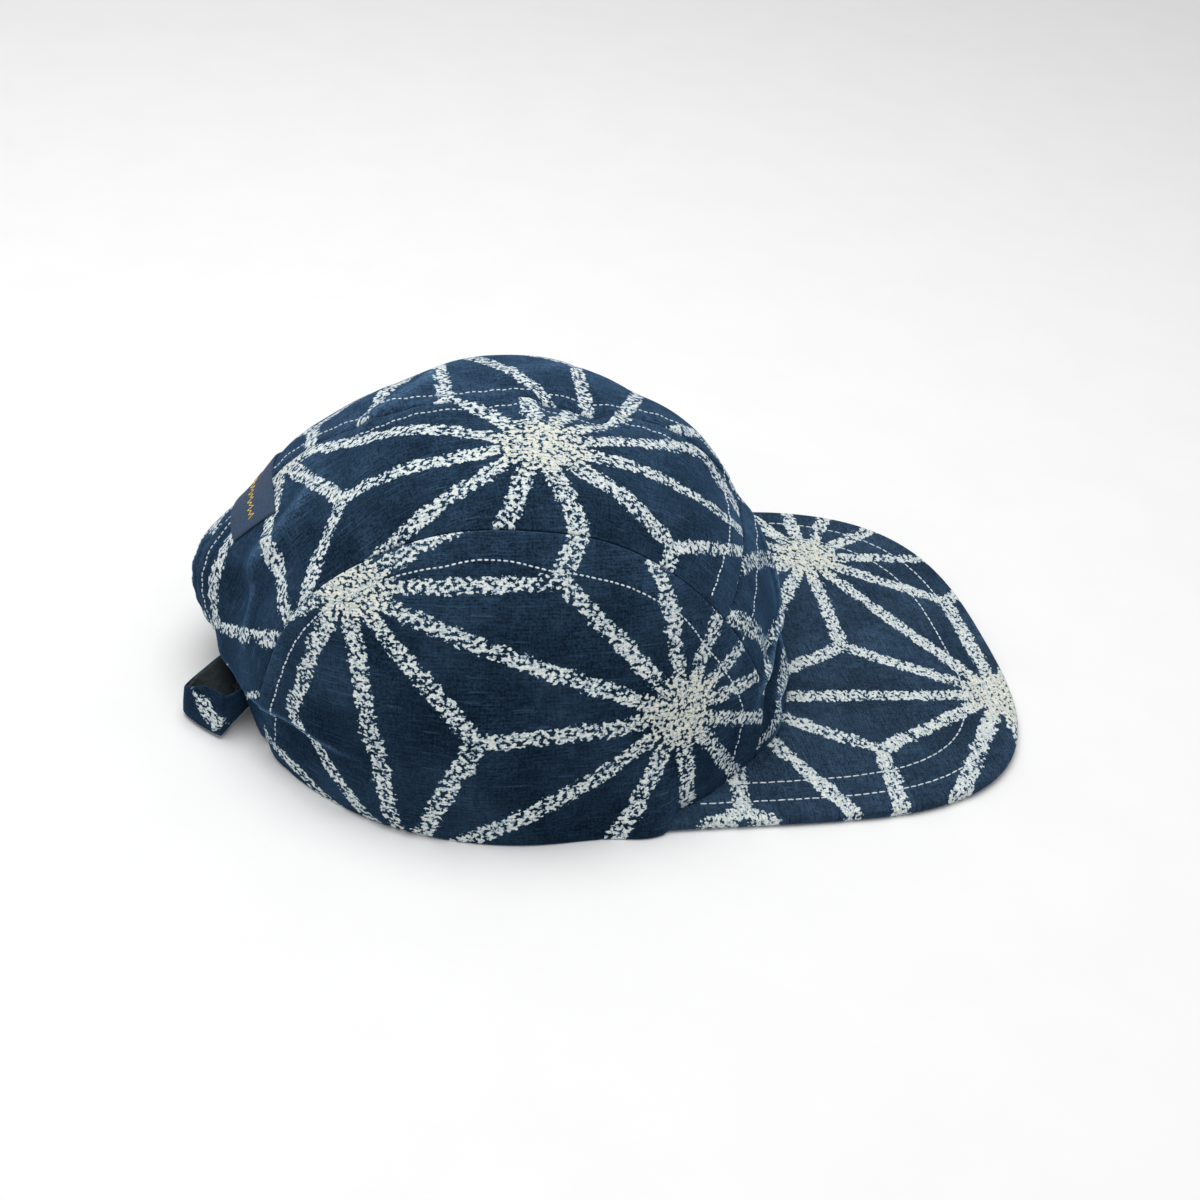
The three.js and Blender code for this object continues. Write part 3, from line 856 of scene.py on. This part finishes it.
def strap_piece():
    """The strap: a band ruled from its foot line to its head line, with rounded long edges and a soft swell.
    Also the place of each point along and up the band, and whether it is on the band's inner side."""
    share = np.linspace(0, 1, STRAP_GRID["along"])
    foot, head = strap_edge("foot", share), strap_edge("head", share)
    ahead = unit(np.gradient(foot, axis=0) + np.gradient(head, axis=0))
    inwards = unit(np.cross(ahead, unit(head - foot)))
    half = STRAP_THICKNESS / 2
    face = np.linspace(STRAP_EDGE, 1 - STRAP_EDGE, STRAP_GRID["face"])[1:-1]
    bend = np.linspace(0, np.pi, STRAP_GRID["edge"])
    rounding = STRAP_EDGE * np.sin(bend)
    flat = np.ones(len(face))
    up = np.concatenate([face, 1 - STRAP_EDGE + rounding, face[::-1], STRAP_EDGE - rounding])
    depth = np.concatenate([-flat, -np.cos(bend), flat, np.cos(bend)])
    uneven = 1 + STRAP_SWELL["uneven"] * np.sin(np.pi * STRAP_SWELL["waves"] * share)
    swell = STRAP_SWELL["height"] * np.sin(np.pi * up) * uneven[:, None]
    points = (
        (foot + inwards * half)[:, None]
        + (head - foot)[:, None] * up[None, :, None]
        + inwards[:, None] * ((half + swell) * depth)[..., None]
    )
    points[..., 2] = np.maximum(points[..., 2], 0)
    corners, faces = closed_tube(points)
    width = np.linalg.norm(head - foot, axis=1)
    place = np.stack([run_of(foot)[:, None] + 0 * up, width[:, None] * up], -1).reshape(-1, 2)
    return corners, faces, place, np.tile(np.clip(depth, 0, 1), len(share))


def label_surface(s, t):
    """The label's underside: the crown's cloth below it, followed a little above."""
    degrees_per_mm = np.degrees(1 / seam_at("radius", LABEL["angle"]))
    up = (0.5 - t) * LABEL["height"]
    across = LABEL["across"] + (s - 0.5) * LABEL["length"] - up / LABEL["height"] * LABEL["tilt"] * 2
    angle = LABEL["angle"] - up * degrees_per_mm
    points = crown_point(angle, across)
    normals = crown_normal(angle, across)
    height = fold_relief(points, normals)[0] + undulation(points) + LABEL_LIFT
    return points + normals * height[..., None], normals


def label_piece():
    """The label: a thin wall over its underside, with rolled edges. Also each point's place on its weave."""
    s, t = panel_grid("label")
    points, normals = label_surface(s, t)
    roll = turned_edge(edge_distance(points) * LABEL_ROLL["tightness"])
    roll = np.minimum(roll, LABEL["thickness"] * LABEL_ROLL["most"])
    outer = points + normals * (LABEL["thickness"] - roll)[..., None]
    corners, faces = wall_between(outer, points - normals * LABEL_SINK)
    return corners, faces, twice(np.stack([s * LABEL["length"], t * LABEL["height"], 0 * s], -1))


def zigzag_piece():
    """The label's row of gold thread: one long stitch from corner to corner, up and down by turns."""
    uneven = ZIGZAG_UNEVENNESS
    number = np.arange(ZIGZAG["legs"] + 1)
    across = np.linspace(ZIGZAG["from"], ZIGZAG["to"], len(number))
    across = across + uneven["across"] * np.sin(uneven["across_turn"] * number)
    height = ZIGZAG["height"] + uneven["height"] * np.sin(uneven["height_turn"] * number)
    up = ZIGZAG["middle"] + height * (-1.0) ** number
    parts = []
    for i in range(ZIGZAG["legs"]):
        at = np.linspace(i, i + 1, 6)
        line, above = label_surface(np.interp(at, number, across), np.interp(at, number, up))
        line = line + above * LABEL["thickness"]
        length = run_of(line)[-1]
        parts.append(stitches_along(line, above, length * ZIGZAG_STITCH, length * ZIGZAG_GAP, ZIGZAG_THREAD))
    return joined(parts)


def crown_stitches(length, gap):
    """The stitches of the crown's rows, on its cloth."""
    parts = []
    for panel, places in crown_rows():
        points, normals, _ = cloth_surface(panel, *places)
        keep = points[:, 2] > HEM_CLEAR
        parts.append(stitches_along(points[keep], normals[keep], length, gap))
    return joined(parts)


def brim_stitches(length, gap):
    """The longer stitches of the brim's rows, where they are outside the crown."""
    parts = []
    for inset in BRIM_ROWS:
        plan = brim_outline(np.linspace(-1, 1, ROW_SAMPLES["brim"]), inset)
        outside = (plan[:, 0] / RIBS[0, 1]) ** 2 + (plan[:, 1] / HALF_WIDTH) ** 2 > CROWN_CLEAR
        plan = plan[outside]
        z = BRIM["thickness"] + brim_rise(plan[:, 1]) + brim_rows_dip(plan)
        line = np.concatenate([plan, z[:, None]], -1)
        upwards = np.tile([0.0, 0.0, 1.0], (len(line), 1))
        parts.append(stitches_along(line, upwards, length * BRIM_STITCH, gap))
    return joined(parts)


# Finishes


def group_tree(name, inputs, outputs):
    """A new shader node group with named inputs, each (name, kind, default), and outputs that are values."""
    tree = bpy.data.node_groups.new(name, "ShaderNodeTree")
    for label, kind, default in inputs:
        socket = tree.interface.new_socket(label, in_out="INPUT", socket_type=kind)
        if default is not None:
            socket.default_value = default
    for label in outputs:
        tree.interface.new_socket(label, in_out="OUTPUT", socket_type="NodeSocketFloat")
    return tree, tree.nodes.new("NodeGroupInput"), tree.nodes.new("NodeGroupOutput")


class Wiring:
    """Short ways to add nodes to a tree: each takes sockets or values and returns the socket with the
    result."""

    def __init__(self, tree):
        self.tree = tree

    def plug(self, value, socket):
        """Links a socket, or sets a value."""
        if isinstance(value, bpy.types.NodeSocket):
            self.tree.links.new(value, socket)
        else:
            socket.default_value = value

    def node(self, kind, values=(), **settings):
        """A node with its settings, and with values on its first inputs."""
        node = self.tree.nodes.new(kind)
        for name, setting in settings.items():
            setattr(node, name, setting)
        for value, socket in zip(values, node.inputs):
            self.plug(value, socket)
        return node

    def maths(self, operation, *values):
        return self.node("ShaderNodeMath", values, operation=operation).outputs[0]

    def times(self, a, b):
        return self.maths("MULTIPLY", a, b)

    def plus(self, a, b):
        return self.maths("ADD", a, b)

    def minus(self, a, b):
        return self.maths("SUBTRACT", a, b)

    def larger(self, a, b):
        return self.maths("MAXIMUM", a, b)

    def smaller(self, a, b):
        return self.maths("MINIMUM", a, b)

    def length(self, a, b):
        """The square root of a squared plus b squared."""
        return self.maths("SQRT", self.plus(self.maths("POWER", a, 2.0), self.maths("POWER", b, 2.0)))

    def split(self, vector):
        return self.node("ShaderNodeSeparateXYZ", (vector,)).outputs[:3]

    def join(self, x, y, z=0.0):
        return self.node("ShaderNodeCombineXYZ", (x, y, z)).outputs[0]

    def noise(self, vector, scale, detail=2.0, roughness=0.5):
        node = self.node("ShaderNodeTexNoise", (vector,))
        for label, value in (("Scale", scale), ("Detail", detail), ("Roughness", roughness)):
            node.inputs[label].default_value = value
        return node.outputs["Fac"]

    def drift(self, vector, scale, detail, amount):
        """Noise about zero, times an amount."""
        return self.times(self.minus(self.noise(vector, scale, detail), 0.5), amount)

    def between(self, value, low, high, start=0.0, end=1.0):
        """A smooth step from start, at low, to end, at high."""
        values = (value, low, high, start, end)
        return self.node("ShaderNodeMapRange", values, interpolation_type="SMOOTHSTEP").outputs[0]

    def within(self, distance, reach, inner, outer):
        """One up to inner times the reach, and a smooth step down to zero at outer times the reach."""
        return self.between(distance, self.times(reach, inner), self.times(reach, outer), 1.0, 0.0)

    def wrapped(self, value, period):
        """Distance to the nearest multiple of a period."""
        half = period / 2
        return self.maths("ABSOLUTE", self.maths("WRAP", value, half, -half))

    def mixed(self, factor, a, b, blend="MIX"):
        """Colour a turned to b by a factor."""
        node = self.node("ShaderNodeMix", (factor,), data_type="RGBA", blend_type=blend)
        self.plug(a, node.inputs[6])
        self.plug(b, node.inputs[7])
        return node.outputs[2]


def hemp_leaf_group():
    """The hemp-leaf print. Distance to the nearest of three sets of full lines and three of short spokes,
    and to the nearest star, gives a density; cloth-sized noise below that density is printed, so lines are
    ragged and specked. Tone grows from a speck's edge inwards, and Star from a star's edge to its middle."""
    tree, source, sink = group_tree(
        "hemp_leaf_print",
        [
            ("Print Place", "NodeSocketVector", None),
            ("Grain Place", "NodeSocketVector", None),
            ("Line Half Width", "NodeSocketFloat", 3.5),
            ("Star Radius", "NodeSocketFloat", 12.0),
            ("Coverage", "NodeSocketFloat", PLAIN_COVERAGE),
        ],
        ("Mask", "Tone", "Star"),
    )
    w = Wiring(tree)
    u, v, _ = w.split(source.outputs["Print Place"])
    pitch = LATTICE * np.sqrt(3) / 2
    period = LATTICE * np.sqrt(3)
    spoke = LATTICE / np.sqrt(3)
    nearest_line = None
    for turn in (0, 60, 120):
        c, s = float(np.cos(np.radians(turn))), float(np.sin(np.radians(turn)))
        along = w.plus(w.times(u, c), w.times(v, s))
        aside = w.minus(w.times(v, c), w.times(u, s))
        line = w.wrapped(aside, pitch)
        number = w.maths("ROUND", w.maths("DIVIDE", along, LATTICE / 2))
        odd = w.maths("ABSOLUTE", w.maths("MODULO", number, 2.0))
        reach = w.wrapped(w.minus(aside, w.times(odd, period / 2)), period)
        beyond = w.larger(w.minus(reach, spoke), 0.0)
        both = w.smaller(line, w.length(w.wrapped(along, LATTICE / 2), beyond))
        nearest_line = both if nearest_line is None else w.smaller(nearest_line, both)
    stars = []
    for du, dv in ((0.0, 0.0), (LATTICE / 2, period / 2)):
        stars.append(w.length(w.wrapped(w.minus(u, du), LATTICE), w.wrapped(w.minus(v, dv), period)))
    star = w.smaller(*stars)

    grain = source.outputs["Grain Place"]
    radius = source.outputs["Star Radius"]
    ragged = w.plus(nearest_line, w.drift(grain, 0.16, 2.0, 2.6))
    in_line = w.within(ragged, source.outputs["Line Half Width"], 0.5, 1.4)
    in_star = w.within(star, radius, 0.55, 1.15)
    patchy = w.plus(w.drift(grain, 0.07, 1.0, 0.12), w.drift(grain, 0.24, 1.0, 0.22))
    density = w.times(w.larger(in_line, in_star), w.plus(source.outputs["Coverage"], patchy))
    density = w.plus(density, w.times(in_star, 0.035))
    x, y, z = w.split(grain)
    specks = w.noise(w.join(w.times(x, 0.66), w.times(y, 0.84), z), 1.0, 2.0, 0.55)
    margin = w.minus(density, specks)
    w.plug(w.between(margin, -0.01, 0.012), sink.inputs["Mask"])
    w.plug(w.between(margin, -0.005, 0.07), sink.inputs["Tone"])
    w.plug(w.within(star, radius, 0.6, 1.6), sink.inputs["Star"])
    return tree


def weave_group():
    """Plain weave with uneven threads: streaks along both thread directions, a few thick pale slubs, the
    dark gaps between the threads, and the threads' height."""
    tree, source, sink = group_tree(
        "slubby_weave",
        [("Grain Place", "NodeSocketVector", None), ("Thread Pitch", "NodeSocketFloat", 1.03)],
        ("Shade", "Slub", "Gap", "Height"),
    )
    w = Wiring(tree)
    grain = source.outputs["Grain Place"]
    x, y, _ = w.split(grain)
    weft = w.noise(w.join(w.times(x, 0.16), w.times(y, 1.4)), 1.0, 2.0, 0.6)
    warp = w.noise(w.join(w.times(x, 1.6), w.times(y, 0.2), 5.0), 1.0, 2.0, 0.6)
    fuzz = w.noise(grain, 1.3, 2.0)
    shade = w.plus(w.plus(w.times(weft, 0.3), w.times(warp, 0.25)), w.times(fuzz, 0.45))
    slub = w.noise(w.join(w.times(x, 0.07), w.times(y, 0.9), 9.0), 1.0, 1.0, 0.5)
    wander = w.times(w.noise(grain, 0.2, 1.0), 1.2)
    lines = []
    for place, share in ((y, 1.0), (x, 0.84)):
        wave = w.times(source.outputs["Thread Pitch"], share / (2 * np.pi))
        turn = w.maths("DIVIDE", w.plus(place, wander), wave)
        lines.append(w.maths("MULTIPLY_ADD", w.maths("COSINE", turn), 0.5, 0.5))
    gap = w.larger(lines[0], w.times(lines[1], 0.85))
    gap = w.times(gap, w.between(w.noise(grain, 0.5, 1.0), 0.3, 0.62, 1.05, 0.6))
    w.plug(w.between(shade, 0.39, 0.61), sink.inputs["Shade"])
    w.plug(w.between(slub, 0.62, 0.74), sink.inputs["Slub"])
    w.plug(w.between(gap, 0.45, 1.0), sink.inputs["Gap"])
    w.plug(w.minus(w.times(shade, 2.5), w.times(gap, 0.6)), sink.inputs["Height"])
    return tree


def new_material(name, **constants):
    """A material with only its Principled shader, constants on that shader's own sockets, and the wiring for
    its tree."""
    material = bpy.data.materials.new(name)
    material.use_nodes = True
    tree = material.node_tree
    shader = tree.nodes["Principled BSDF"]
    for label, value in constants.items():
        shader.inputs[label.replace("_", " ")].default_value = value
    return material, Wiring(tree), shader


def attribute(w, name, output="Fac"):
    """The value of a named mesh attribute, or its vector."""
    return w.node("ShaderNodeAttribute", attribute_name=name).outputs[output]


def placed_group(w, group, **values):
    """A node group in a tree, with values or links on its named inputs. Returns its outputs."""
    node = w.node("ShaderNodeGroup", node_tree=group)
    for label, value in values.items():
        w.plug(value, node.inputs[label.replace("_", " ")])
    return node.outputs


def bumped(w, shader, height, strength, distance):
    """Small bumps in a shader's normal, from a height."""
    bump = w.node("ShaderNodeBump")
    for label, value in (("Strength", strength), ("Distance", distance), ("Height", height)):
        w.plug(value, bump.inputs[label])
    w.plug(bump.outputs["Normal"], shader.inputs["Normal"])


def dimmed(colour, share):
    """A colour times a share, with its alpha whole."""
    return tuple(share * c for c in colour[:3]) + (1.0,)


def printed_cloth(settings, hemp_leaf, weave):
    """Indigo cotton with the worn print: dark cloth shaded by its threads, paler slubs, worn ridges and edges,
    a painted highlight on fold crests and a painted sheen on up-facing cloth, and the print over it."""
    material, w, shader = new_material(
        "printed_cloth",
        Specular_IOR_Level=0.02,
        Sheen_Weight=0.16,
        Sheen_Roughness=0.45,
        Sheen_Tint=(0.2, 0.5, 1.0, 1.0),
    )
    grain = attribute(w, "grain_place", "Vector")
    place = attribute(w, "print_place", "Vector")
    wear_and_sheen = attribute(w, "wear_and_sheen")
    reverse = attribute(w, "reverse")
    threads = placed_group(w, weave, Grain_Place=grain)
    leaf = placed_group(w, hemp_leaf, Grain_Place=grain, Print_Place=place, Coverage=attribute(w, "coverage"))
    shade = threads["Shade"]
    gap = threads["Gap"]
    ground = w.mixed(shade, settings.indigo_dark, settings.indigo)
    # Paling from the mesh attribute: real wear on edges and folds, plus a painted sheen on up-facing cloth and
    # a painted highlight on fold crests.
    streaky = w.times(wear_and_sheen, w.between(shade, 0.0, 1.0, 0.5, 1.15))
    cloudy = w.between(w.noise(grain, 0.035, 3.0), 0.35, 0.7, 0.0, 0.14)
    pale = w.plus(w.plus(streaky, w.times(threads["Slub"], 0.15)), cloudy)
    ground = w.mixed(w.times(pale, w.between(gap, 0.0, 1.0, 1.0, 0.6)), ground, settings.indigo_wear_and_sheen)
    ground = w.mixed(w.times(reverse, 0.8), ground, settings.reverse)
    shady = w.between(w.noise(grain, 0.09, 2.0), 0.38, 0.62, 0.3, 0.0)
    ground = w.mixed(w.larger(w.times(gap, 0.45), shady), ground, settings.indigo_dark)
    white = w.mixed(shade, settings.print_shaded, settings.print_white)
    white = w.mixed(leaf["Star"], white, settings.star_tint, "MULTIPLY")
    printed = w.mixed(leaf["Tone"], settings.print_edge, white)
    printed = w.mixed(w.times(gap, 0.6), printed, settings.print_edge)
    mask = w.times(leaf["Mask"], w.minus(1.0, w.times(reverse, 0.75)))
    w.plug(w.mixed(mask, ground, printed), shader.inputs["Base Color"])
    w.plug(w.between(shade, 0.0, 1.0, 0.94, 0.84), shader.inputs["Roughness"])
    bumped(w, shader, threads["Height"], 0.5, 0.12 * MM)
    return material


def label_cloth(settings, weave):
    """The label's fine weave: a smooth navy grey with close threads."""
    material, w, shader = new_material("label_cloth", Specular_IOR_Level=0.1)
    threads = placed_group(w, weave, Grain_Place=attribute(w, "grain_place", "Vector"), Thread_Pitch=0.5)
    woven = w.mixed(threads["Shade"], dimmed(settings.label, 0.8), settings.label)
    w.plug(woven, shader.inputs["Base Color"])
    w.plug(w.between(threads["Shade"], 0.0, 1.0, 0.72, 0.6), shader.inputs["Roughness"])
    bumped(w, shader, threads["Height"], 0.4, 0.06 * MM)
    return material


def speckled(name, colour, roughness, scale, detail, low, high, dim):
    """A plain finish, a little dimmer here and there: sewing thread and the floor."""
    material, w, shader = new_material(name, Roughness=roughness)
    place = w.node("ShaderNodeTexCoord").outputs["Object"]
    uneven = w.between(w.noise(place, scale, detail), low, high)
    w.plug(w.mixed(uneven, dimmed(colour, dim), colour), shader.inputs["Base Color"])
    return material


def thread_finish(name, colour, roughness):
    """Sewing thread: its colour with a little unevenness along the stitch."""
    return speckled(name, colour, roughness, scale=900.0, detail=2.0, low=0.35, high=0.65, dim=0.72)


FINISHES = {}


def finish(name):
    """The named material, made with its groups when it is first asked for."""
    settings = bpy.context.scene.cap_cloth
    if not FINISHES:
        hemp_leaf, weave = hemp_leaf_group(), weave_group()
        FINISHES["printed_cloth"] = printed_cloth(settings, hemp_leaf, weave)
        FINISHES["label_cloth"] = label_cloth(settings, weave)
        FINISHES["pale_thread"] = thread_finish("pale_thread", settings.thread, 0.6)
        FINISHES["gold_thread"] = thread_finish("gold_thread", settings.gold, 0.4)
    return FINISHES[name]


def colour(label, default, description):
    """A colour property with its alpha."""
    return bpy.props.FloatVectorProperty(
        name=label, description=description, default=(*default, 1.0), size=4, min=0, max=1, subtype="COLOR"
    )


def distance(label, default, least, description):
    """A length property, in metres."""
    return bpy.props.FloatProperty(
        name=label, description=description, default=default, min=least, subtype="DISTANCE", unit="LENGTH"
    )


class CapCloth(bpy.types.PropertyGroup):
    """Colours of the cap's cloths and threads, and the size of its stitches."""

    indigo_dark: colour("Indigo, dark", (0.002, 0.006, 0.0115), "Threads in the shade of the weave")
    indigo: colour("Indigo", (0.0115, 0.028, 0.055), "The dyed ground of the cloth")
    # This pale colour shows the wear, and also the painted sheen on up-facing cloth and the painted highlight
    # on fold crests.
    indigo_wear_and_sheen: colour("Indigo, worn", (0.1, 0.2, 0.35), "Paler slubs, ridges and turned edges")
    reverse: colour("Reverse", (0.085, 0.1, 0.095), "The cloth's unprinted inner side")
    print_white: colour("Print", (0.85, 0.87, 0.81), "The off-white of the print")
    print_shaded: colour("Print, shaded", (0.58, 0.64, 0.63), "The print between its threads")
    star_tint: colour("Star, tint", (1.0, 0.95, 0.86), "What makes the thick print of the stars creamier")
    print_edge: colour("Print, edge", (0.17, 0.28, 0.38), "Thin print at the edges of its specks")
    thread: colour("Thread", (0.7, 0.8, 0.87), "Pale topstitching thread")
    label: colour("Label", (0.042, 0.07, 0.125), "The woven label")
    gold: colour("Gold thread", (0.8, 0.55, 0.09), "The plain zigzag on the label")
    stitch: distance("Stitch", 1.25 * MM, 0.5 * MM, "Length of one topstitch of the crown")
    gap: distance("Gap", 0.7 * MM, 0.1 * MM, "Space between two stitches")


class CapStage(bpy.types.PropertyGroup):
    """The floor and the light."""

    floor: colour("Floor", (0.9, 0.9, 0.9), "The plain pale surface")
    floor_size: distance("Floor size", 8.0, 1.0, "Side of the square floor")
    sky: bpy.props.FloatProperty(
        name="Sky", description="Strength of the even light all round", default=0.56, min=0.0
    )
    key: bpy.props.FloatProperty(
        name="Key light", description="Power of the large soft light above", default=6.8, unit="POWER"
    )


class CAP_OT_crown(bpy.types.Operator):
    """Build the five sewn panels of the crown"""

    bl_idname = "cap.crown"
    bl_label = "Crown panels"

    def execute(self, context):
        cloth = finish("printed_cloth")
        for side in ("right", "left"):
            crown_panel("side_panel_" + side, side_places(side), flatten_side, cloth)
        for side in ("right", "left"):
            crown_panel("top_panel_" + side, top_places(side), flatten_top, cloth)
        crown_panel("front_panel", front_places(), flatten_top, cloth)
        return {"FINISHED"}


class CAP_OT_brim(bpy.types.Operator):
    """Build the flat, stitched brim"""

    bl_idname = "cap.brim"
    bl_label = "Brim"

    def execute(self, context):
        points, faces = brim_piece()
        x, y, z = points.T
        even = np.ones(len(points))
        vectors = {"print_place": print_place("brim", x, y), "grain_place": np.stack([y, x, z], -1)}
        values = {key: share * even for key, share in BRIM_FINISH.items()}
        values["coverage"] = coverage("brim", x, y)
        cloth = finish("printed_cloth")
        piece = add_piece("brim_cloth", points, faces, "printed_cloth", cloth, vectors, values)
        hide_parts("brim")
        return {"FINISHED"}


class CAP_OT_strap(bpy.types.Operator):
    """Build the rear strap"""

    bl_idname = "cap.strap"
    bl_label = "Rear strap"

    def execute(self, context):
        points, faces, place, inner = strap_piece()
        along, up = place.T
        grain = np.stack([along, up, 0 * up], -1)
        vectors = {"print_place": print_place("rear_strap", along, up), "grain_place": grain}
        values = {"wear_and_sheen": 0 * up, "reverse": inner, "coverage": coverage("rear_strap", along, up)}
        cloth = finish("printed_cloth")
        piece = add_piece("rear_strap_cloth", points, faces, "printed_cloth", cloth, vectors, values)
        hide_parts("rear_strap")
        return {"FINISHED"}


class CAP_OT_label(bpy.types.Operator):
    """Build the woven back label with its plain gold zigzag"""

    bl_idname = "cap.label"
    bl_label = "Back label"

    def execute(self, context):
        points, faces, grain = label_piece()
        cloth = finish("label_cloth")
        piece = add_piece("back_label_cloth", points, faces, "label_cloth", cloth, {"grain_place": grain})
        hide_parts("back_label")
        add_piece("label_gold_zigzag", *zigzag_piece(), "label_cloth", finish("gold_thread"))
        return {"FINISHED"}


class CAP_OT_stitching(bpy.types.Operator):
    """Sew the topstitch rows of the crown and the brim"""

    bl_idname = "cap.stitching"
    bl_label = "Topstitching"

    def execute(self, context):
        settings = context.scene.cap_cloth
        length, gap = settings.stitch / MM, settings.gap / MM
        thread = finish("pale_thread")
        add_piece("crown_topstitching", *crown_stitches(length, gap), "printed_cloth", thread)
        add_piece("brim_topstitching", *brim_stitches(length, gap), "printed_cloth", thread)
        return {"FINISHED"}


class CAP_OT_stage(bpy.types.Operator):
    """Lay the floor, set the soft light and place the camera as in the photograph"""

    bl_idname = "cap.stage"
    bl_label = "Stage"

    def execute(self, context):
        stage = context.scene.cap_stage
        half = stage.floor_size / 2
        corners = [(-half, -half, 0), (half, -half, 0), (half, half, 0), (-half, half, 0)]
        mesh = bpy.data.meshes.new("floor")
        mesh.from_pydata(corners, [], [(0, 1, 2, 3)])
        speckles = {"scale": 30.0, "detail": 3.0, "low": 0.3, "high": 0.7, "dim": 0.985}
        material = speckled("pale_floor", stage.floor, 0.9, **speckles)
        mesh.materials.append(material)
        floor = bpy.data.objects.new("floor", mesh)
        context.scene.collection.objects.link(floor)
        set_light(context, stage)
        set_camera(context)
        return {"FINISHED"}


def set_light(context, stage):
    """Even light all round, and a large soft light above the cap."""
    world = bpy.data.worlds.new("even_light")
    world.use_nodes = True
    background = world.node_tree.nodes["Background"]
    background.inputs["Color"].default_value = (1.0, 1.0, 1.0, 1.0)
    background.inputs["Strength"].default_value = stage.sky
    context.scene.world = world
    context.scene.view_settings.view_transform = "Standard"
    key = bpy.data.lights.new("key", "AREA")
    key.shape = "DISK"
    key.size = KEY_SIZE
    key.energy = stage.key
    lamp = bpy.data.objects.new("key", key)
    lamp.location = KEY_PLACE
    lamp.rotation_euler = Vector(KEY_PLACE).to_track_quat("Z", "Y").to_euler()
    context.scene.collection.objects.link(lamp)


def set_camera(context):
    """The camera, from its turn, rise and roll about the crown's centre and where that centre lies in the
    picture."""
    turn, rise, roll = (np.radians(CAMERA[key]) for key in ("turn", "rise", "roll"))
    ahead = np.array([np.sin(turn) * np.cos(rise), np.cos(turn) * np.cos(rise), -np.sin(rise)])
    level = np.array([np.cos(turn), -np.sin(turn), 0])
    upright = np.cross(level, ahead)
    aside = (CENTRE_PIXEL[0] - PHOTO_SIZE / 2) / CAMERA["scale"]
    above = (PHOTO_SIZE / 2 - CENTRE_PIXEL[1]) / CAMERA["scale"]
    place = -ahead * CAMERA["distance"] - aside * level - above * upright
    right = np.cos(roll) * level - np.sin(roll) * upright
    up = np.sin(roll) * level + np.cos(roll) * upright
    camera = bpy.data.cameras.new("camera")
    camera.sensor_width = SENSOR
    camera.sensor_fit = "HORIZONTAL"
    camera.lens = CAMERA["scale"] * CAMERA["distance"] / PHOTO_SIZE * SENSOR
    camera.clip_start = 0.01
    holder = bpy.data.objects.new("camera", camera)
    columns = np.stack([right, up, -ahead, to_frame(place)], -1)
    holder.matrix_world = Matrix([*columns.tolist(), (0, 0, 0, 1)])
    context.scene.collection.objects.link(holder)
    context.scene.camera = holder


class CAP_PT_builder(bpy.types.Panel):
    """Lists the cap's builders and their settings"""

    bl_idname = "CAP_PT_builder"
    bl_label = "Five-panel cap"
    bl_space_type = "VIEW_3D"
    bl_region_type = "UI"
    bl_category = "Cap"

    def draw(self, context):
        for group in (context.scene.cap_cloth, context.scene.cap_stage):
            box = self.layout.box()
            for name in group.__annotations__:
                box.prop(group, name)
        for builder in BUILDERS:
            self.layout.operator(builder.bl_idname)


BUILDERS = (CAP_OT_stage, CAP_OT_crown, CAP_OT_brim, CAP_OT_strap, CAP_OT_label, CAP_OT_stitching)
CLASSES = (CapCloth, CapStage, *BUILDERS, CAP_PT_builder)


def register():
    """Adds the classes and the scene's settings."""
    for item in CLASSES:
        bpy.utils.register_class(item)
    bpy.types.Scene.cap_cloth = bpy.props.PointerProperty(type=CapCloth)
    bpy.types.Scene.cap_stage = bpy.props.PointerProperty(type=CapStage)


def unregister():
    """Takes them away again."""
    del bpy.types.Scene.cap_stage
    del bpy.types.Scene.cap_cloth
    for item in reversed(CLASSES):
        bpy.utils.unregister_class(item)


def main():
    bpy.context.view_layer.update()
    register()
    bpy.ops.cap.stage()
    bpy.ops.cap.crown()
    bpy.ops.cap.brim()
    bpy.ops.cap.strap()
    bpy.ops.cap.label()
    bpy.ops.cap.stitching()


if __name__ == "__main__":
    main()
